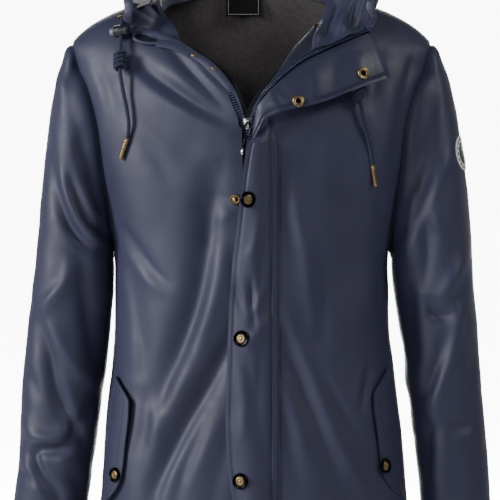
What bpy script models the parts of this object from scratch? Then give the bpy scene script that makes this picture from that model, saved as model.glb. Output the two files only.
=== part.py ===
"""Hooded foul weather jacket: coated shell panels, lining, zip, storm flap, snaps, hood and drawcords.

Frame: +Z up, the wearer faces -Y, the wearer's left is +X.
Origin: the neck point that the jacket hangs from, between the two shoulder points.
"""
import math

import bmesh
import bpy
from mathutils import Matrix, Vector

COLLECTION_NAME = "foul_weather_jacket"
CUTTER_COLLECTION_NAME = "cutters"

# Driving dimensions, in metres.
HEM_Z = -0.760              # lowest edge of the body
SHOULDER_Z = -0.066         # height of the shoulder points
UNDERARM_Z = -0.345         # bottom of the armhole
ELBOW_Z = -0.428            # fold line of the elbow
CUFF_Z = -0.712             # end of the sleeve
FABRIC = 0.0020             # coated fabric with its backing
LINING_THICKNESS = 0.0015
LINING_INSET = 0.0130       # lining's outer face, inside the shell's outer face
SEAM_GAP = 0.0015           # half of the gap left at a seam
SECTION_POWER = 2.4         # squareness of the body's horizontal section
ZIP_TOP_Z = -0.180          # where the slider rests
ZIP_BOTTOM_Z = -0.705
ZIP_TOP_X = -0.004
ZIP_BOTTOM_X = 0.006
ZIP_HALF_GAP = 0.009        # from the zip's middle to each front edge
FLAP_SEAM_X = 0.031         # hinge line of the storm flap
CORD_RADIUS = 0.00275
CORD_BORE = 0.0034

# Height, half width, front depth and back depth of the body's outer face.
BODY_STATIONS = [
    (-0.760, 0.2080, 0.130, 0.122),
    (-0.677, 0.2035, 0.130, 0.118),
    (-0.594, 0.1970, 0.130, 0.115),
    (-0.500, 0.1880, 0.130, 0.114),
    (-0.456, 0.1830, 0.130, 0.115),
    (-0.345, 0.1826, 0.130, 0.121),
    (-0.300, 0.1910, 0.130, 0.124),
    (-0.2345, 0.2070, 0.130, 0.124),
    (-0.180, 0.2160, 0.130, 0.122),
    (-0.105, 0.2360, 0.110, 0.112),
    (-0.066, 0.2410, 0.088, 0.104),
    (-0.043, 0.2165, 0.074, 0.099),
    (-0.0335, 0.2030, 0.066, 0.097),
    (-0.0214, 0.1770, 0.052, 0.094),
    (0.000, 0.1160, 0.014, 0.088),
    (0.022, 0.0700, 0.010, 0.080),
]
# Height and distance from the middle of the armhole seam.
ARMHOLE = [(-0.345, 0.1826), (-0.300, 0.1865), (-0.2345, 0.1963), (-0.174, 0.2044), (-0.147, 0.2111),
           (-0.123, 0.2191), (-0.1045, 0.2285), (-0.080, 0.2355), (-0.066, 0.2400)]
# Height and distance from the middle of each front's open edge above the slider.
RIGHT_EDGE = [(-0.176, 0.0130), (-0.150, 0.0130), (-0.134, 0.0170), (-0.117, 0.0270), (-0.102, 0.0400),
              (-0.088, 0.0560), (-0.077, 0.0750), (-0.063, 0.0950), (-0.049, 0.1040), (-0.025, 0.1160),
              (0.000, 0.1220)]
LEFT_EDGE = [(-0.176, 0.0055), (-0.168, 0.0170), (-0.151, 0.0250), (-0.122, 0.0420), (-0.093, 0.0600),
             (-0.074, 0.0740),
             (-0.059, 0.0830), (-0.040, 0.0970), (-0.020, 0.1090), (0.000, 0.1160)]
# Height and distance from the middle of the back's outer edge above the shoulder point.
BACK_NECK = [(-0.0214, 0.1770), (0.000, 0.1150), (0.016, 0.0600), (0.022, 0.0300)]

# Sleeve rings for the wearer's left: outer (x, z), inner (x, z) and half depth.
SLEEVE_RINGS = [
    ((0.2440, -0.0640), (0.1860, -0.3460), 0.058),
    ((0.2575, -0.0930), (0.1862, -0.3520), 0.064),
    ((0.2690, -0.1480), (0.1864, -0.3590), 0.070),
    ((0.2775, -0.2200), (0.1868, -0.3680), 0.071),
    ((0.2870, -0.3080), (0.1874, -0.3800), 0.070),
    ((0.2945, -0.3850), (0.1885, -0.4020), 0.067),
    ((0.2985, ELBOW_Z), (0.1895, ELBOW_Z), 0.064),
    ((0.3030, -0.5000), (0.1975, -0.5000), 0.062),
    ((0.3085, -0.5700), (0.2040, -0.5700), 0.060),
    ((0.3135, -0.6370), (0.2110, -0.6370), 0.058),
    ((0.3180, -0.6770), (0.2180, -0.6770), 0.056),
    ((0.3215, CUFF_Z), (0.2230, CUFF_Z), 0.055),
]
ELBOW_RING = 6

# Hood worn down, for the wearer's left half: neck seam, fold at the bottom, and rim of the opening.
HOOD_SEAM = [(0.000, 0.084, 0.030), (0.055, 0.076, 0.026), (0.102, 0.044, 0.014), (0.124, -0.002, 0.003),
             (0.132, -0.040, -0.010), (0.134, -0.064, -0.020)]
HOOD_FOLD = [(0.000, 0.178, -0.160), (0.080, 0.168, -0.135), (0.140, 0.132, -0.062), (0.168, 0.052, -0.006),
             (0.164, -0.020, -0.006), (0.158, -0.062, -0.034)]
HOOD_RIM = [(0.000, 0.208, 0.050), (0.078, 0.190, 0.058), (0.140, 0.134, 0.066), (0.172, 0.056, 0.058),
            (0.172, -0.016, 0.030), (0.162, -0.062, -0.004)]

# Free cords, from the eyelet down: hand-placed route points.
RIGHT_CORD = [(-0.1695, -0.0690, -0.0390), (-0.1698, -0.0743, -0.0510), (-0.1702, -0.0806, -0.0650),
              (-0.1706, -0.0875, -0.0805), (-0.1710, -0.0948, -0.0970), (-0.1703, -0.1003, -0.1120),
              (-0.1668, -0.1020, -0.1340), (-0.1614, -0.1032, -0.1600), (-0.1588, -0.1047, -0.1800),
              (-0.1605, -0.1022, -0.1965)]
LEFT_CORD = [(0.0850, -0.0890, -0.0530), (0.0950, -0.0955, -0.0680), (0.1060, -0.1025, -0.0845),
             (0.1170, -0.1095, -0.1010), (0.1280, -0.1148, -0.1200), (0.1375, -0.1165, -0.1400),
             (0.1415, -0.1165, -0.1590), (0.1445, -0.1140, -0.1760), (0.1495, -0.1095, -0.1940),
             (0.1540, -0.1049, -0.2130), (0.1570, -0.1018, -0.2310)]
RIGHT_CORD_END = (-0.1702, -0.0960, -0.2240)
LEFT_CORD_END = (0.1612, -0.0975, -0.2595)

# Snap positions: (x, z) of each stud on the right front, and of each cap on the storm flap.
STUDS = {"upper": (-0.0220, -0.277), "middle": (-0.0128, -0.455), "lower": (-0.0140, -0.637)}
CAPS = {"upper": (-0.0070, -0.277), "middle": (-0.0128, -0.455), "lower": (-0.0140, -0.637)}


def srgb(red, green, blue):
    """Convert display values from 0 to 255 to Blender's linear colour."""
    return tuple((value / 255.0) ** 2.2 for value in (red, green, blue)) + (1.0,)


def make_material(name, colour, roughness, metallic=0.0):
    material = bpy.data.materials.new(name)
    material.use_nodes = True
    shader = material.node_tree.nodes["Principled BSDF"]
    shader.inputs["Base Color"].default_value = colour
    shader.inputs["Roughness"].default_value = roughness
    shader.inputs["Metallic"].default_value = metallic
    material.diffuse_color = colour
    return material


def clear_scene():
    for old_object in list(bpy.data.objects):
        bpy.data.objects.remove(old_object, do_unlink=True)


def add_collection(name):
    collection = bpy.data.collections.new(name)
    bpy.context.scene.collection.children.link(collection)
    return collection


clear_scene()
PARTS = add_collection(COLLECTION_NAME)
CUTTERS = add_collection(CUTTER_COLLECTION_NAME)

NAVY = make_material("coated_navy", srgb(70, 74, 94), 0.42)
LINING = make_material("charcoal_lining", srgb(51, 47, 48), 0.90)
TAPE = make_material("zip_tape", srgb(38, 40, 56), 0.85)
TEETH = make_material("zip_teeth", srgb(48, 50, 66), 0.45)
STEEL = make_material("bright_steel", srgb(190, 190, 195), 0.25, 1.0)
BRASS = make_material("antique_brass", srgb(184, 152, 96), 0.35, 1.0)
CORD = make_material("navy_cord", srgb(46, 50, 68), 0.85)
LOCK = make_material("lock_plastic", srgb(28, 30, 40), 0.45)
BUTTON = make_material("button_plastic", srgb(112, 112, 120), 0.45)
LABEL = make_material("woven_label", srgb(24, 24, 26), 0.80)
BADGE = make_material("badge_rubber", srgb(225, 225, 222), 0.60)


def interpolate(table, key):
    """Read a smooth curve through the table's rows; the first column is the key, in rising order."""
    rows = sorted(table)
    if key <= rows[0][0]:
        return rows[0][1:]
    if key >= rows[-1][0]:
        return rows[-1][1:]
    index = max(i for i in range(len(rows) - 1) if rows[i][0] <= key)
    low, high = rows[index], rows[index + 1]
    t = (key - low[0]) / (high[0] - low[0])
    return tuple(a + (b - a) * t for a, b in zip(low[1:], high[1:]))


def smooth_path(points, samples):
    """Points along a Catmull-Rom curve through the given points, with even steps per stretch."""
    nodes = [Vector(point) for point in points]
    nodes = [2 * nodes[0] - nodes[1]] + nodes + [2 * nodes[-1] - nodes[-2]]
    stretches = len(nodes) - 3
    path = []
    for sample in range(samples + 1):
        place = sample / samples * stretches
        i = min(int(place), stretches - 1)
        t = place - i
        a, b, c, d = nodes[i:i + 4]
        path.append(0.5 * (2 * b + (c - a) * t + (2 * a - 5 * b + 4 * c - d) * t ** 2
                           + (3 * b - a - 3 * c + d) * t ** 3))
    return path


def zip_x(z):
    """Distance of the zip's middle line from the body's middle."""
    t = (z - ZIP_TOP_Z) / (ZIP_BOTTOM_Z - ZIP_TOP_Z)
    return ZIP_TOP_X + (ZIP_BOTTOM_X - ZIP_TOP_X) * t


def section_point(x, z, proud=0.0, front=True):
    """Point of the body's horizontal section at x, moved out of the surface by proud."""
    half_width, front_depth, back_depth = interpolate(BODY_STATIONS, z)
    depth = front_depth if front else back_depth
    ratio = min(abs(x) / (half_width + proud), 1.0)
    y = (depth + proud) * (1.0 - ratio ** SECTION_POWER) ** (1.0 / SECTION_POWER)
    return Vector((x, -y if front else y, z))


def section_row(x_start, x_end, z, count, proud=0.0, front=True, seam=SEAM_GAP):
    """Points of one row between two distances from the middle, closer together where it curves."""
    half_width = interpolate(BODY_STATIONS, z)[0] + proud
    power = SECTION_POWER / 2.0
    side = 1.0 if x_end > 0 else -1.0

    def angle(x):
        signed = side * x
        size = min(abs(signed) / half_width, 1.0) ** power
        return math.copysign(math.asin(size), signed)

    start, end = angle(x_start), angle(x_end)
    row = []
    for column in range(count + 1):
        turn = start + (end - start) * column / count
        x = half_width * math.copysign(abs(math.sin(turn)) ** (1.0 / power), turn) * side
        point = section_point(x, z, proud, front)
        if abs(point.y) < seam:
            point.y = -seam if front else seam
        row.append(point)
    return row


def link(thing, material, collection=PARTS):
    collection.objects.link(thing)
    thing.data.materials.append(material)
    return thing


def grid_object(name, rows, material, outward, closed=False):
    """Open surface through the rows' points, its faces turned towards the outward direction."""
    mesh = bpy.data.meshes.new(name)
    columns = len(rows[0])
    points = [tuple(point) for row in rows for point in row]
    steps = columns if closed else columns - 1
    faces = []
    for r in range(len(rows) - 1):
        for c in range(steps):
            n = (c + 1) % columns
            faces.append((r * columns + c, r * columns + n, (r + 1) * columns + n, (r + 1) * columns + c))
    mesh.from_pydata(points, [], faces)
    mesh.update()
    if callable(outward):
        score = sum(face.normal.dot(outward(face.center)) * face.area for face in mesh.polygons)
    else:
        score = sum(face.normal.dot(Vector(outward)) * face.area for face in mesh.polygons)
    if score < 0:
        mesh.flip_normals()
    return link(bpy.data.objects.new(name, mesh), material)


def shell(name, rows, material, outward, thickness=FABRIC, closed=False):
    """Sheet of the given thickness whose outer face runs through the rows' points."""
    thing = grid_object(name, rows, material, outward, closed)
    solidify = thing.modifiers.new("thickness", "SOLIDIFY")
    solidify.thickness = thickness
    solidify.offset = -1.0
    solidify.use_even_offset = True
    thing.data.shade_smooth()
    thing.data.set_sharp_from_angle(angle=math.radians(40))
    return thing


def turned(name, profile, place, direction, material, steps=16, ring=False, collection=PARTS):
    """Turned piece: profile of (radius, height) from the top down its outer side, along direction."""
    mesh = bpy.data.meshes.new(name)
    points = [(radius, 0.0, height) for radius, height in profile]
    edges = [(i, i + 1) for i in range(len(points) - 1)]
    if ring:
        edges.append((len(points) - 1, 0))
    mesh.from_pydata(points, edges, [])
    thing = link(bpy.data.objects.new(name, mesh), material, collection)
    screw = thing.modifiers.new("turn", "SCREW")
    screw.steps = steps
    screw.render_steps = steps
    screw.use_merge_vertices = True
    screw.merge_threshold = 0.00001
    screw.use_smooth_shade = True
    turn = Vector((0, 0, 1)).rotation_difference(Vector(direction).normalized())
    thing.matrix_world = Matrix.Translation(Vector(place)) @ turn.to_matrix().to_4x4()
    return thing


def tube(name, points, radius, material, resolution=2):
    """Round tube with closed ends along the points."""
    curve = bpy.data.curves.new(name, "CURVE")
    curve.dimensions = "3D"
    curve.bevel_depth = radius
    curve.bevel_resolution = resolution
    curve.use_fill_caps = True
    spline = curve.splines.new("POLY")
    spline.points.add(len(points) - 1)
    for spot, point in zip(spline.points, points):
        spot.co = (*point, 1.0)
    return link(bpy.data.objects.new(name, curve), material)


def box(name, size, place, material, collection=PARTS, rotation=None):
    """Rectangular block centred on its place."""
    mesh = bpy.data.meshes.new(name)
    cage = bmesh.new()
    bmesh.ops.create_cube(cage, size=1.0)
    bmesh.ops.scale(cage, vec=size, verts=cage.verts)
    cage.to_mesh(mesh)
    cage.free()
    thing = link(bpy.data.objects.new(name, mesh), material, collection)
    thing.matrix_world = Matrix.Translation(Vector(place)) @ (rotation or Matrix.Identity(3)).to_4x4()
    return thing


def cut(thing, cutter):
    cutter.display_type = "WIRE"
    cutter.hide_render = True
    modifier = thing.modifiers.new("cut_" + cutter.name, "BOOLEAN")
    modifier.operation = "DIFFERENCE"
    modifier.object = cutter


def surface_normal(x, z, proud=0.0, front=True):
    """Outward normal of the body's surface."""
    step = 0.002
    here = section_point(x, z, proud, front)
    across = section_point(x + step, z, proud, front) - here
    down = section_point(x, z - step, proud, front) - here
    normal = across.cross(down).normalized()
    outward = -1.0 if front else 1.0
    return normal if normal.y * outward > 0 else -normal


def from_axis(point):
    return Vector((point.x, point.y, 0.0))


def spread(start, end, count):
    return [start + (end - start) * i / count for i in range(count + 1)]


BODY_HEIGHTS = [HEM_Z, -0.677, -0.594, -0.500, -0.425, UNDERARM_Z, -0.300, -0.2345, -0.180, -0.150, -0.123,
                -0.105, -0.080, SHOULDER_Z, -0.043, -0.0214, -0.006]
LINING_HEIGHTS = [HEM_Z + 0.030, -0.600, -0.456, UNDERARM_Z, -0.270, -0.180, -0.123, -0.085]


def outer_edge(z):
    """Distance of the front's outer edge from the middle: side seam, armhole or shoulder line."""
    if UNDERARM_Z < z < SHOULDER_Z:
        return interpolate(ARMHOLE, z)[0]
    return interpolate(BODY_STATIONS, z)[0]


def front_edge(side, z):
    """Signed distance of a front's inner edge from the middle."""
    if z < ZIP_TOP_Z + 0.004:
        return zip_x(z) + side * ZIP_HALF_GAP
    table = LEFT_EDGE if side > 0 else RIGHT_EDGE
    return side * interpolate(table, z)[0]


def make_front(name, side, material, heights, proud=0.0, thickness=FABRIC, edge_inset=0.0):
    rows = []
    for height in heights:
        start = front_edge(side, height) + side * edge_inset
        end = side * (outer_edge(height) + min(proud, 0.0))
        rows.append(section_row(start, end, height, 8, proud, seam=SEAM_GAP - proud * 0.2))
    return shell(name, rows, material, from_axis, thickness)


def make_back(name, material, heights, proud=0.0, thickness=FABRIC):
    rows = []
    for height in heights + [-0.0214, 0.000, 0.016, 0.022]:
        edge = outer_edge(height) if height <= -0.0214 else interpolate(BACK_NECK, height)[0]
        edge += min(proud, 0.0)
        left = section_row(0.0, edge, height, 7, proud, front=False, seam=SEAM_GAP - proud * 0.2)
        right = section_row(0.0, -edge, height, 7, proud, front=False, seam=SEAM_GAP - proud * 0.2)
        rows.append(list(reversed(right)) + left[1:])
    return shell(name, rows, material, from_axis, thickness)


def make_body_panels():
    make_back("back_panel", NAVY, BODY_HEIGHTS[:-2])
    make_back("back_lining", LINING, LINING_HEIGHTS + [SHOULDER_Z, -0.043], -LINING_INSET, LINING_THICKNESS)
    for name, side in (("right_front", -1), ("left_front", 1)):
        make_front(name + "_panel", side, NAVY, BODY_HEIGHTS)
        make_front(name + "_lining", side, LINING, LINING_HEIGHTS, -LINING_INSET, LINING_THICKNESS, 0.045)


def make_facing(name, side):
    """Strip of shell fabric inside a front's edge, from the hem to the top of the open edge."""
    heights = [HEM_Z + 0.004, -0.677, -0.594, -0.500, -0.345, -0.235, -0.180, -0.150, -0.123, -0.105,
               -0.080, -0.066]
    rows = []
    for z in heights:
        start = front_edge(side, z) + side * 0.0125
        rows.append(section_row(start, start + side * 0.034, z, 2, -0.0045))
    return shell(name, rows, NAVY, from_axis, 0.0015)


# Teeth above the slider: (x, z) along the right front's edge and along the turned-back left front.
RIGHT_TEETH = [(-0.0075, -0.155), (-0.0095, -0.143), (-0.0130, -0.130), (-0.0215, -0.114), (-0.0345, -0.099),
               (-0.0505, -0.085), (-0.0695, -0.074), (-0.0870, -0.063)]
LAPEL_TEETH = [(0.0030, -0.1580), (0.0125, -0.1480), (0.0290, -0.1320), (0.0590, -0.1125), (0.0980, -0.0945),
               (0.1470, -0.0690)]


def zip_line(side):
    """Route of one side's teeth, from the bottom to the slider and up the open edge."""
    points = []
    for z in spread(ZIP_BOTTOM_Z, ZIP_TOP_Z + 0.010, 6):
        points.append(section_point(zip_x(z) + side * 0.0022, z, -0.0005))
    open_part, lift = (LAPEL_TEETH, 0.0275) if side > 0 else (RIGHT_TEETH, -0.0035)
    for number, (x, z) in enumerate(open_part):
        points.append(section_point(x, z, lift * min(1.0, (number + 1) / 3.0)))
    return points


def strip(name, route, across, width, thickness, material):
    """Flat strip whose middle follows the route; across gives its width direction at each point."""
    rows = [[point - across(i) * width / 2, point, point + across(i) * width / 2]
            for i, point in enumerate(route)]
    return shell(name, rows, material, (0, -1, 0), thickness)


def make_zip():
    for side, name in ((-1, "right"), (1, "left")):
        route = zip_line(side)

        def across(i):
            ahead = route[min(i + 1, len(route) - 1)] - route[max(i - 1, 0)]
            normal = surface_normal(route[i].x, route[i].z)
            return ahead.cross(normal).normalized()

        strip(name + "_zip_teeth", route, across, 0.0034, 0.0020, TEETH)
        tape = []
        for i, point in enumerate(route):
            toward = across(i)
            if toward.dot(Vector((side, 0.0, -0.8))) < 0:
                toward = -toward
            tape.append(point - surface_normal(point.x, point.z) * 0.0040 + toward * 0.0046)
        strip(name + "_zip_tape", tape, across, 0.0120, 0.0008, TAPE)
    bottom = section_point(zip_x(ZIP_BOTTOM_Z), ZIP_BOTTOM_Z - 0.0065, -0.0010)
    box("zip_bottom_box", (0.0085, 0.0035, 0.0110), bottom, STEEL)


def make_slider():
    """Slider astride the teeth, open to the back where the tape runs, with a hanging puller."""
    place = section_point(zip_x(ZIP_TOP_Z), ZIP_TOP_Z, 0.0)
    tilt = Matrix.Rotation(math.atan2(ZIP_BOTTOM_X - ZIP_TOP_X, ZIP_TOP_Z - ZIP_BOTTOM_Z), 3, "Y")
    slider = box("zip_slider", (0.0120, 0.0052, 0.0130), place + Vector((0, -0.0012, 0)), STEEL,
                 rotation=tilt)
    channel = box("slider_channel", (0.0094, 0.0052, 0.0200), place + Vector((0, 0.0012, 0)), STEEL,
                  CUTTERS, tilt)
    cut(slider, channel)
    hinge = place + Vector((0, -0.0062, 0.0020))
    down = Vector((-0.20, 0.0, -0.98)).normalized()
    route = [hinge + down * d for d in (0.0, 0.010, 0.020, 0.030, 0.0395)]
    rows = []
    widths = (0.0040, 0.0056, 0.0056, 0.0030, 0.0052)
    for point, width in zip(route, widths):
        rows.append([point + Vector((-width / 2, 0, 0)), point + Vector((width / 2, 0, 0))])
    puller = shell("zip_puller", rows, LOCK, (0, -1, 0), 0.0018)
    return slider, puller


def storm_free_edge(z):
    table = [(-0.748, 0.0120), (-0.700, 0.0260), (-0.655, 0.0290), (-0.620, 0.0310), (-0.470, 0.0313),
             (-0.400, 0.0290), (-0.340, 0.0240), (-0.277, 0.0155), (-0.240, 0.0105), (-0.215, 0.0030)]
    return -interpolate(table, z)[0]


def storm_proud(x, z, free_edge):
    """Height of the storm flap's outer face above the front: an arch over the zip, lifted at its top."""
    across = (FLAP_SEAM_X - x) / (FLAP_SEAM_X - free_edge)
    arch = 0.0035 + 0.0095 * math.sin(math.pi * across) ** 2
    lift = interpolate([(-0.455, 0.0), (-0.277, 0.010), (-0.215, 0.014)], z)[0]
    return arch + lift * across ** 2


def make_storm_flap():
    rows = []
    for z in (-0.748, -0.700, -0.655, -0.600, -0.520, -0.455, -0.370, -0.310, -0.277, -0.245, -0.218):
        edge = storm_free_edge(z)
        row = []
        for t in spread(0.0, 1.0, 6):
            x = FLAP_SEAM_X + (edge - FLAP_SEAM_X) * t
            row.append(section_point(x, z, storm_proud(x, z, edge)))
        rows.append(row)
    last = rows[-1]
    rows.append([point + Vector((0, 0, 0.004 + 0.022 * (1.0 - i / 6.0))) for i, point in enumerate(last)])
    shell("storm_flap", rows, NAVY, (0, -1, 0))


LAPEL_ROLL = [(0.0010, -0.1460), (0.0080, -0.1340), (0.0240, -0.1120), (0.0470, -0.0860), (0.0660, -0.0700),
              (0.0800, -0.0560)]
FLAP_INNER = [(0.0105, -0.1760), (0.0190, -0.1620), (0.0350, -0.1440), (0.0660, -0.1235), (0.1040, -0.1050),
              (0.1540, -0.0790)]
FLAP_FREE = [(0.0140, -0.1850), (0.0260, -0.1765), (0.0480, -0.1675), (0.0810, -0.1580), (0.1200, -0.1420),
             (0.1700, -0.1210)]


def flap_patch(name, inner, outer, inner_proud, outer_proud, across=3):
    """Patch between two lines laid over the left front, at given heights above it."""
    rows = []
    for i, (a, b) in enumerate(zip(inner, outer)):
        along = i / (len(inner) - 1)
        row = []
        for t in spread(0.0, 1.0, across):
            x = a[0] + (b[0] - a[0]) * t
            z = a[1] + (b[1] - a[1]) * t
            low = inner_proud[0] + (inner_proud[1] - inner_proud[0]) * along
            high = outer_proud[0] + (outer_proud[1] - outer_proud[0]) * along
            row.append(section_point(x, z, low + (high - low) * t))
        rows.append(row)
    return shell(name, rows, NAVY, (0, -1, 0))


def make_lapel():
    teeth_side = [(x - 0.003, z + 0.0035) for x, z in LAPEL_TEETH]
    flap_patch("left_front_facing", LAPEL_ROLL, teeth_side, (0.010, 0.027), (0.016, 0.029), 2)
    flap_patch("storm_flap_top", FLAP_INNER, FLAP_FREE, (0.026, 0.029), (0.026, 0.0270))


def snap_cap(name, place, normal, radius=0.0105):
    """Domed press-stud cap with a raised rim."""
    profile = [(0.0, 0.0030), (radius * 0.45, 0.0029), (radius * 0.62, 0.0022), (radius * 0.70, 0.0026),
               (radius * 0.94, 0.0024), (radius, 0.0014), (radius, 0.0006), (0.0, 0.0006)]
    return turned(name, profile, place, normal, BRASS)


def snap_stud(name, place, normal):
    """Post half of a press stud on its base ring."""
    profile = [(0.0, 0.0038), (0.0022, 0.0036), (0.0024, 0.0022), (0.0056, 0.0018), (0.0062, 0.0006),
               (0.0, 0.0006)]
    return turned(name, profile, place, normal, BRASS)


def snap_socket(name, place, normal):
    """Socket half of a press stud, a ring with a hollow middle."""
    profile = [(0.0, 0.0008), (0.0026, 0.0008), (0.0030, 0.0024), (0.0064, 0.0022), (0.0074, 0.0010),
               (0.0074, 0.0004), (0.0, 0.0004)]
    return turned(name, profile, place, normal, BRASS)


def make_snaps():
    for level, (x, z) in STUDS.items():
        snap_stud("stud_" + level, section_point(x, z), surface_normal(x, z))
    for level, (x, z) in CAPS.items():
        edge = storm_free_edge(z)
        proud = storm_proud(x, z, edge)
        step = 0.001
        here = section_point(x, z, proud)
        across = section_point(x + step, z, storm_proud(x + step, z, edge)) - here
        normal = Vector((across.y, -across.x, 0.0)).normalized()
        rim = [section_point(x + dx, z + dz, storm_proud(x + dx, z + dz, storm_free_edge(z + dz)))
               for dx in (-0.0105, -0.005, 0.005, 0.0105) for dz in (-0.0105, 0.0, 0.0105)]
        clear = max((point - here).dot(normal) for point in rim)
        snap_cap("cap_" + level, here + normal * (max(clear, 0.0) + 0.0004), normal)
    collar = {"collar_low": (-0.0480, -0.1085), "collar_high": (-0.0800, -0.0870)}
    for level, (x, z) in collar.items():
        snap_stud("stud_" + level, section_point(x, z), surface_normal(x, z))
    sockets = {"low": ((0.0440, -0.1545), 0.0270), "high": ((0.1420, -0.1120), 0.0286)}
    for level, ((x, z), proud) in sockets.items():
        snap_socket("flap_socket_" + level, section_point(x, z, proud + 0.0004), surface_normal(x, z, proud))


POCKET_SEAM = [(-0.505, 0.1822), (-0.560, 0.1870), (-0.620, 0.1930), (-0.680, 0.1960)]
POCKET_FREE = [(-0.505, 0.1640), (-0.530, 0.1560), (-0.560, 0.1580), (-0.620, 0.1620), (-0.650, 0.1660),
               (-0.680, 0.1800)]
POCKET_SNAP = (0.1810, -0.640)


def make_pocket(side, name):
    rows = []
    for z in (-0.500, -0.515, -0.530, -0.560, -0.590, -0.620, -0.650, -0.668, -0.682):
        seam_x = interpolate(POCKET_SEAM, z)[0]
        free_x = interpolate(POCKET_FREE, z)[0]
        rows.append(section_row(side * free_x, side * seam_x, z, 4, 0.0075))
    shell(name + "_pocket_flap", rows, NAVY, from_axis)
    x, z = side * POCKET_SNAP[0], POCKET_SNAP[1]
    snap_cap(name + "_pocket_cap", section_point(x, z, 0.0076), surface_normal(x, z, 0.0076))
    snap_stud(name + "_pocket_stud", section_point(x, z, 0.0002), surface_normal(x, z))
    bag = []
    for z, proud in ((-0.520, -0.0035), (-0.600, -0.0035), (-0.690, -0.0035), (-0.697, -0.0042),
                     (-0.700, -0.0062), (-0.697, -0.0081), (-0.690, -0.0088), (-0.600, -0.0088),
                     (-0.520, -0.0088)):
        bag.append(section_row(side * 0.080, side * (interpolate(BODY_STATIONS, z)[0] - 0.020), z, 4, proud))
    bag_shell = grid_object(name + "_pocket_bag", bag, LINING, from_axis)
    solidify = bag_shell.modifiers.new("thickness", "SOLIDIFY")
    solidify.thickness = 0.0008
    solidify.offset = 0.0


def sleeve_ring(side, index, inset=0.0, sides=20):
    """Points of one ring of the sleeve, drawn in by inset."""
    outer, inner, depth = SLEEVE_RINGS[index]
    start = Vector((side * outer[0], 0.0, outer[1]))
    end = Vector((side * inner[0], 0.0, inner[1]))
    centre = (start + end) / 2
    half = (start - end) / 2
    half = half.normalized() * (half.length - inset)
    ring = []
    for step in range(sides):
        turn = 2.0 * math.pi * step / sides
        along = math.copysign(abs(math.cos(turn)) ** 0.87, math.cos(turn))
        across = math.copysign(abs(math.sin(turn)) ** 0.87, math.sin(turn))
        ring.append(centre + half * along + Vector((0.0, (depth - inset) * across, 0.0)))
    return ring


def make_sleeve(side, name):
    def away(point):
        return Vector((point.x - side * 0.25, point.y, 0.0))

    upper = [sleeve_ring(side, i) for i in range(ELBOW_RING + 1)]
    shell(name + "_upper_sleeve", upper, NAVY, away, closed=True)
    lower = [sleeve_ring(side, i) for i in range(ELBOW_RING, len(SLEEVE_RINGS))]
    for point in lower[0]:
        point.z -= 0.0020
    shell(name + "_lower_sleeve", lower, NAVY, away, closed=True)


def make_badge():
    """Round rubber badge on the outside of the left upper sleeve."""
    turned("sleeve_badge", [(0.0, 0.0014), (0.0225, 0.0014), (0.0235, 0.0008), (0.0235, 0.0), (0.0, 0.0)],
           (0.2790, -0.0220, -0.2150), (0.95, -0.30, 0.10), BADGE, 24)


def hood_station(place):
    """Seam, fold and rim points at a place from -1 (right front) over 0 (middle back) to 1 (left front)."""
    side = 1.0 if place >= 0 else -1.0
    found = []
    for line in (HOOD_SEAM, HOOD_FOLD, HOOD_RIM):
        mirrored = [(-line[1][0], line[1][1], line[1][2])] + list(line)
        nodes = [Vector(point) for point in mirrored] + [2 * Vector(line[-1]) - Vector(line[-2])]
        where = abs(place) * (len(line) - 1)
        i = min(int(where), len(line) - 2)
        t = where - i
        a, b, c, d = nodes[i:i + 4]
        point = 0.5 * (2 * b + (c - a) * t + (2 * a - 5 * b + 4 * c - d) * t ** 2
                       + (3 * b - a - 3 * c + d) * t ** 3)
        found.append(Vector((point.x * side, point.y, point.z)))
    return found


def hood_section(place, samples=8):
    """Section of the hood's pouch, from its rim down to the fold and up to the neck seam."""
    seam, fold, rim = hood_station(place)
    centre = Vector((0.0, 0.02, 0.0))
    outward = Vector((fold.x, fold.y - 0.02, 0.0)).normalized()
    bulge = 0.10 * (rim - fold).length
    outer = (rim + fold) / 2 + outward * bulge
    inner = (seam + fold) / 2 + outward * 0.006
    return smooth_path([rim, outer, fold, inner, seam], samples)


def make_hood():
    spans = {"right_hood_panel": (-1.0, -0.262, 9), "hood_centre_panel": (-0.255, 0.255, 6),
             "left_hood_panel": (0.262, 1.0, 9)}
    for name, (start, end, count) in spans.items():
        rows = [hood_section(place) for place in spread(start, end, count)]
        shell(name, rows, NAVY, (0.0, 0.35, -1.0), FABRIC)
    rim = []
    for place in spread(-0.97, 0.97, 30):
        seam, fold, edge = hood_station(place)
        rise = (edge - fold).normalized()
        rim.append(edge + rise * 0.0085)
    tube("hood_casing", rim, 0.0058, NAVY)


def make_eyelets_and_cords():
    ring = [(0.0030, 0.0010), (0.0052, 0.0010), (0.0062, 0.0), (0.0052, -0.0006), (0.0030, -0.0006)]
    for name, route, end in (("right", RIGHT_CORD, RIGHT_CORD_END), ("left", LEFT_CORD, LEFT_CORD_END)):
        exit_way = (Vector(route[0]) - Vector(route[1])).normalized()
        turned(name + "_eyelet", ring, Vector(route[0]) + exit_way * 0.0022, -exit_way, BRASS, 16, True)
        path = smooth_path(route, 30)
        tube(name + "_cord", path, CORD_RADIUS, CORD)
        tail = Vector(end) - path[-1]
        aglet = [(0.0, 0.0), (0.0029, 0.0), (0.0031, -0.002), (0.0026, -tail.length), (0.0, -tail.length)]
        start = path[-1] + tail.normalized() * 0.0012
        turned(name + "_aglet", aglet, start, -tail, BRASS, 12)


def ring_profile(bore, bumps, height, radius, bulge):
    """Closed profile of a knot: a bored barrel with rounded turns of cord, from the top down."""
    outer = []
    for i in range(bumps * 4 + 1):
        t = i / (bumps * 4)
        outer.append((radius + bulge * abs(math.sin(math.pi * bumps * t)), height * (0.5 - t)))
    return [(bore, height / 2)] + outer + [(bore, -height / 2)]


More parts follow.
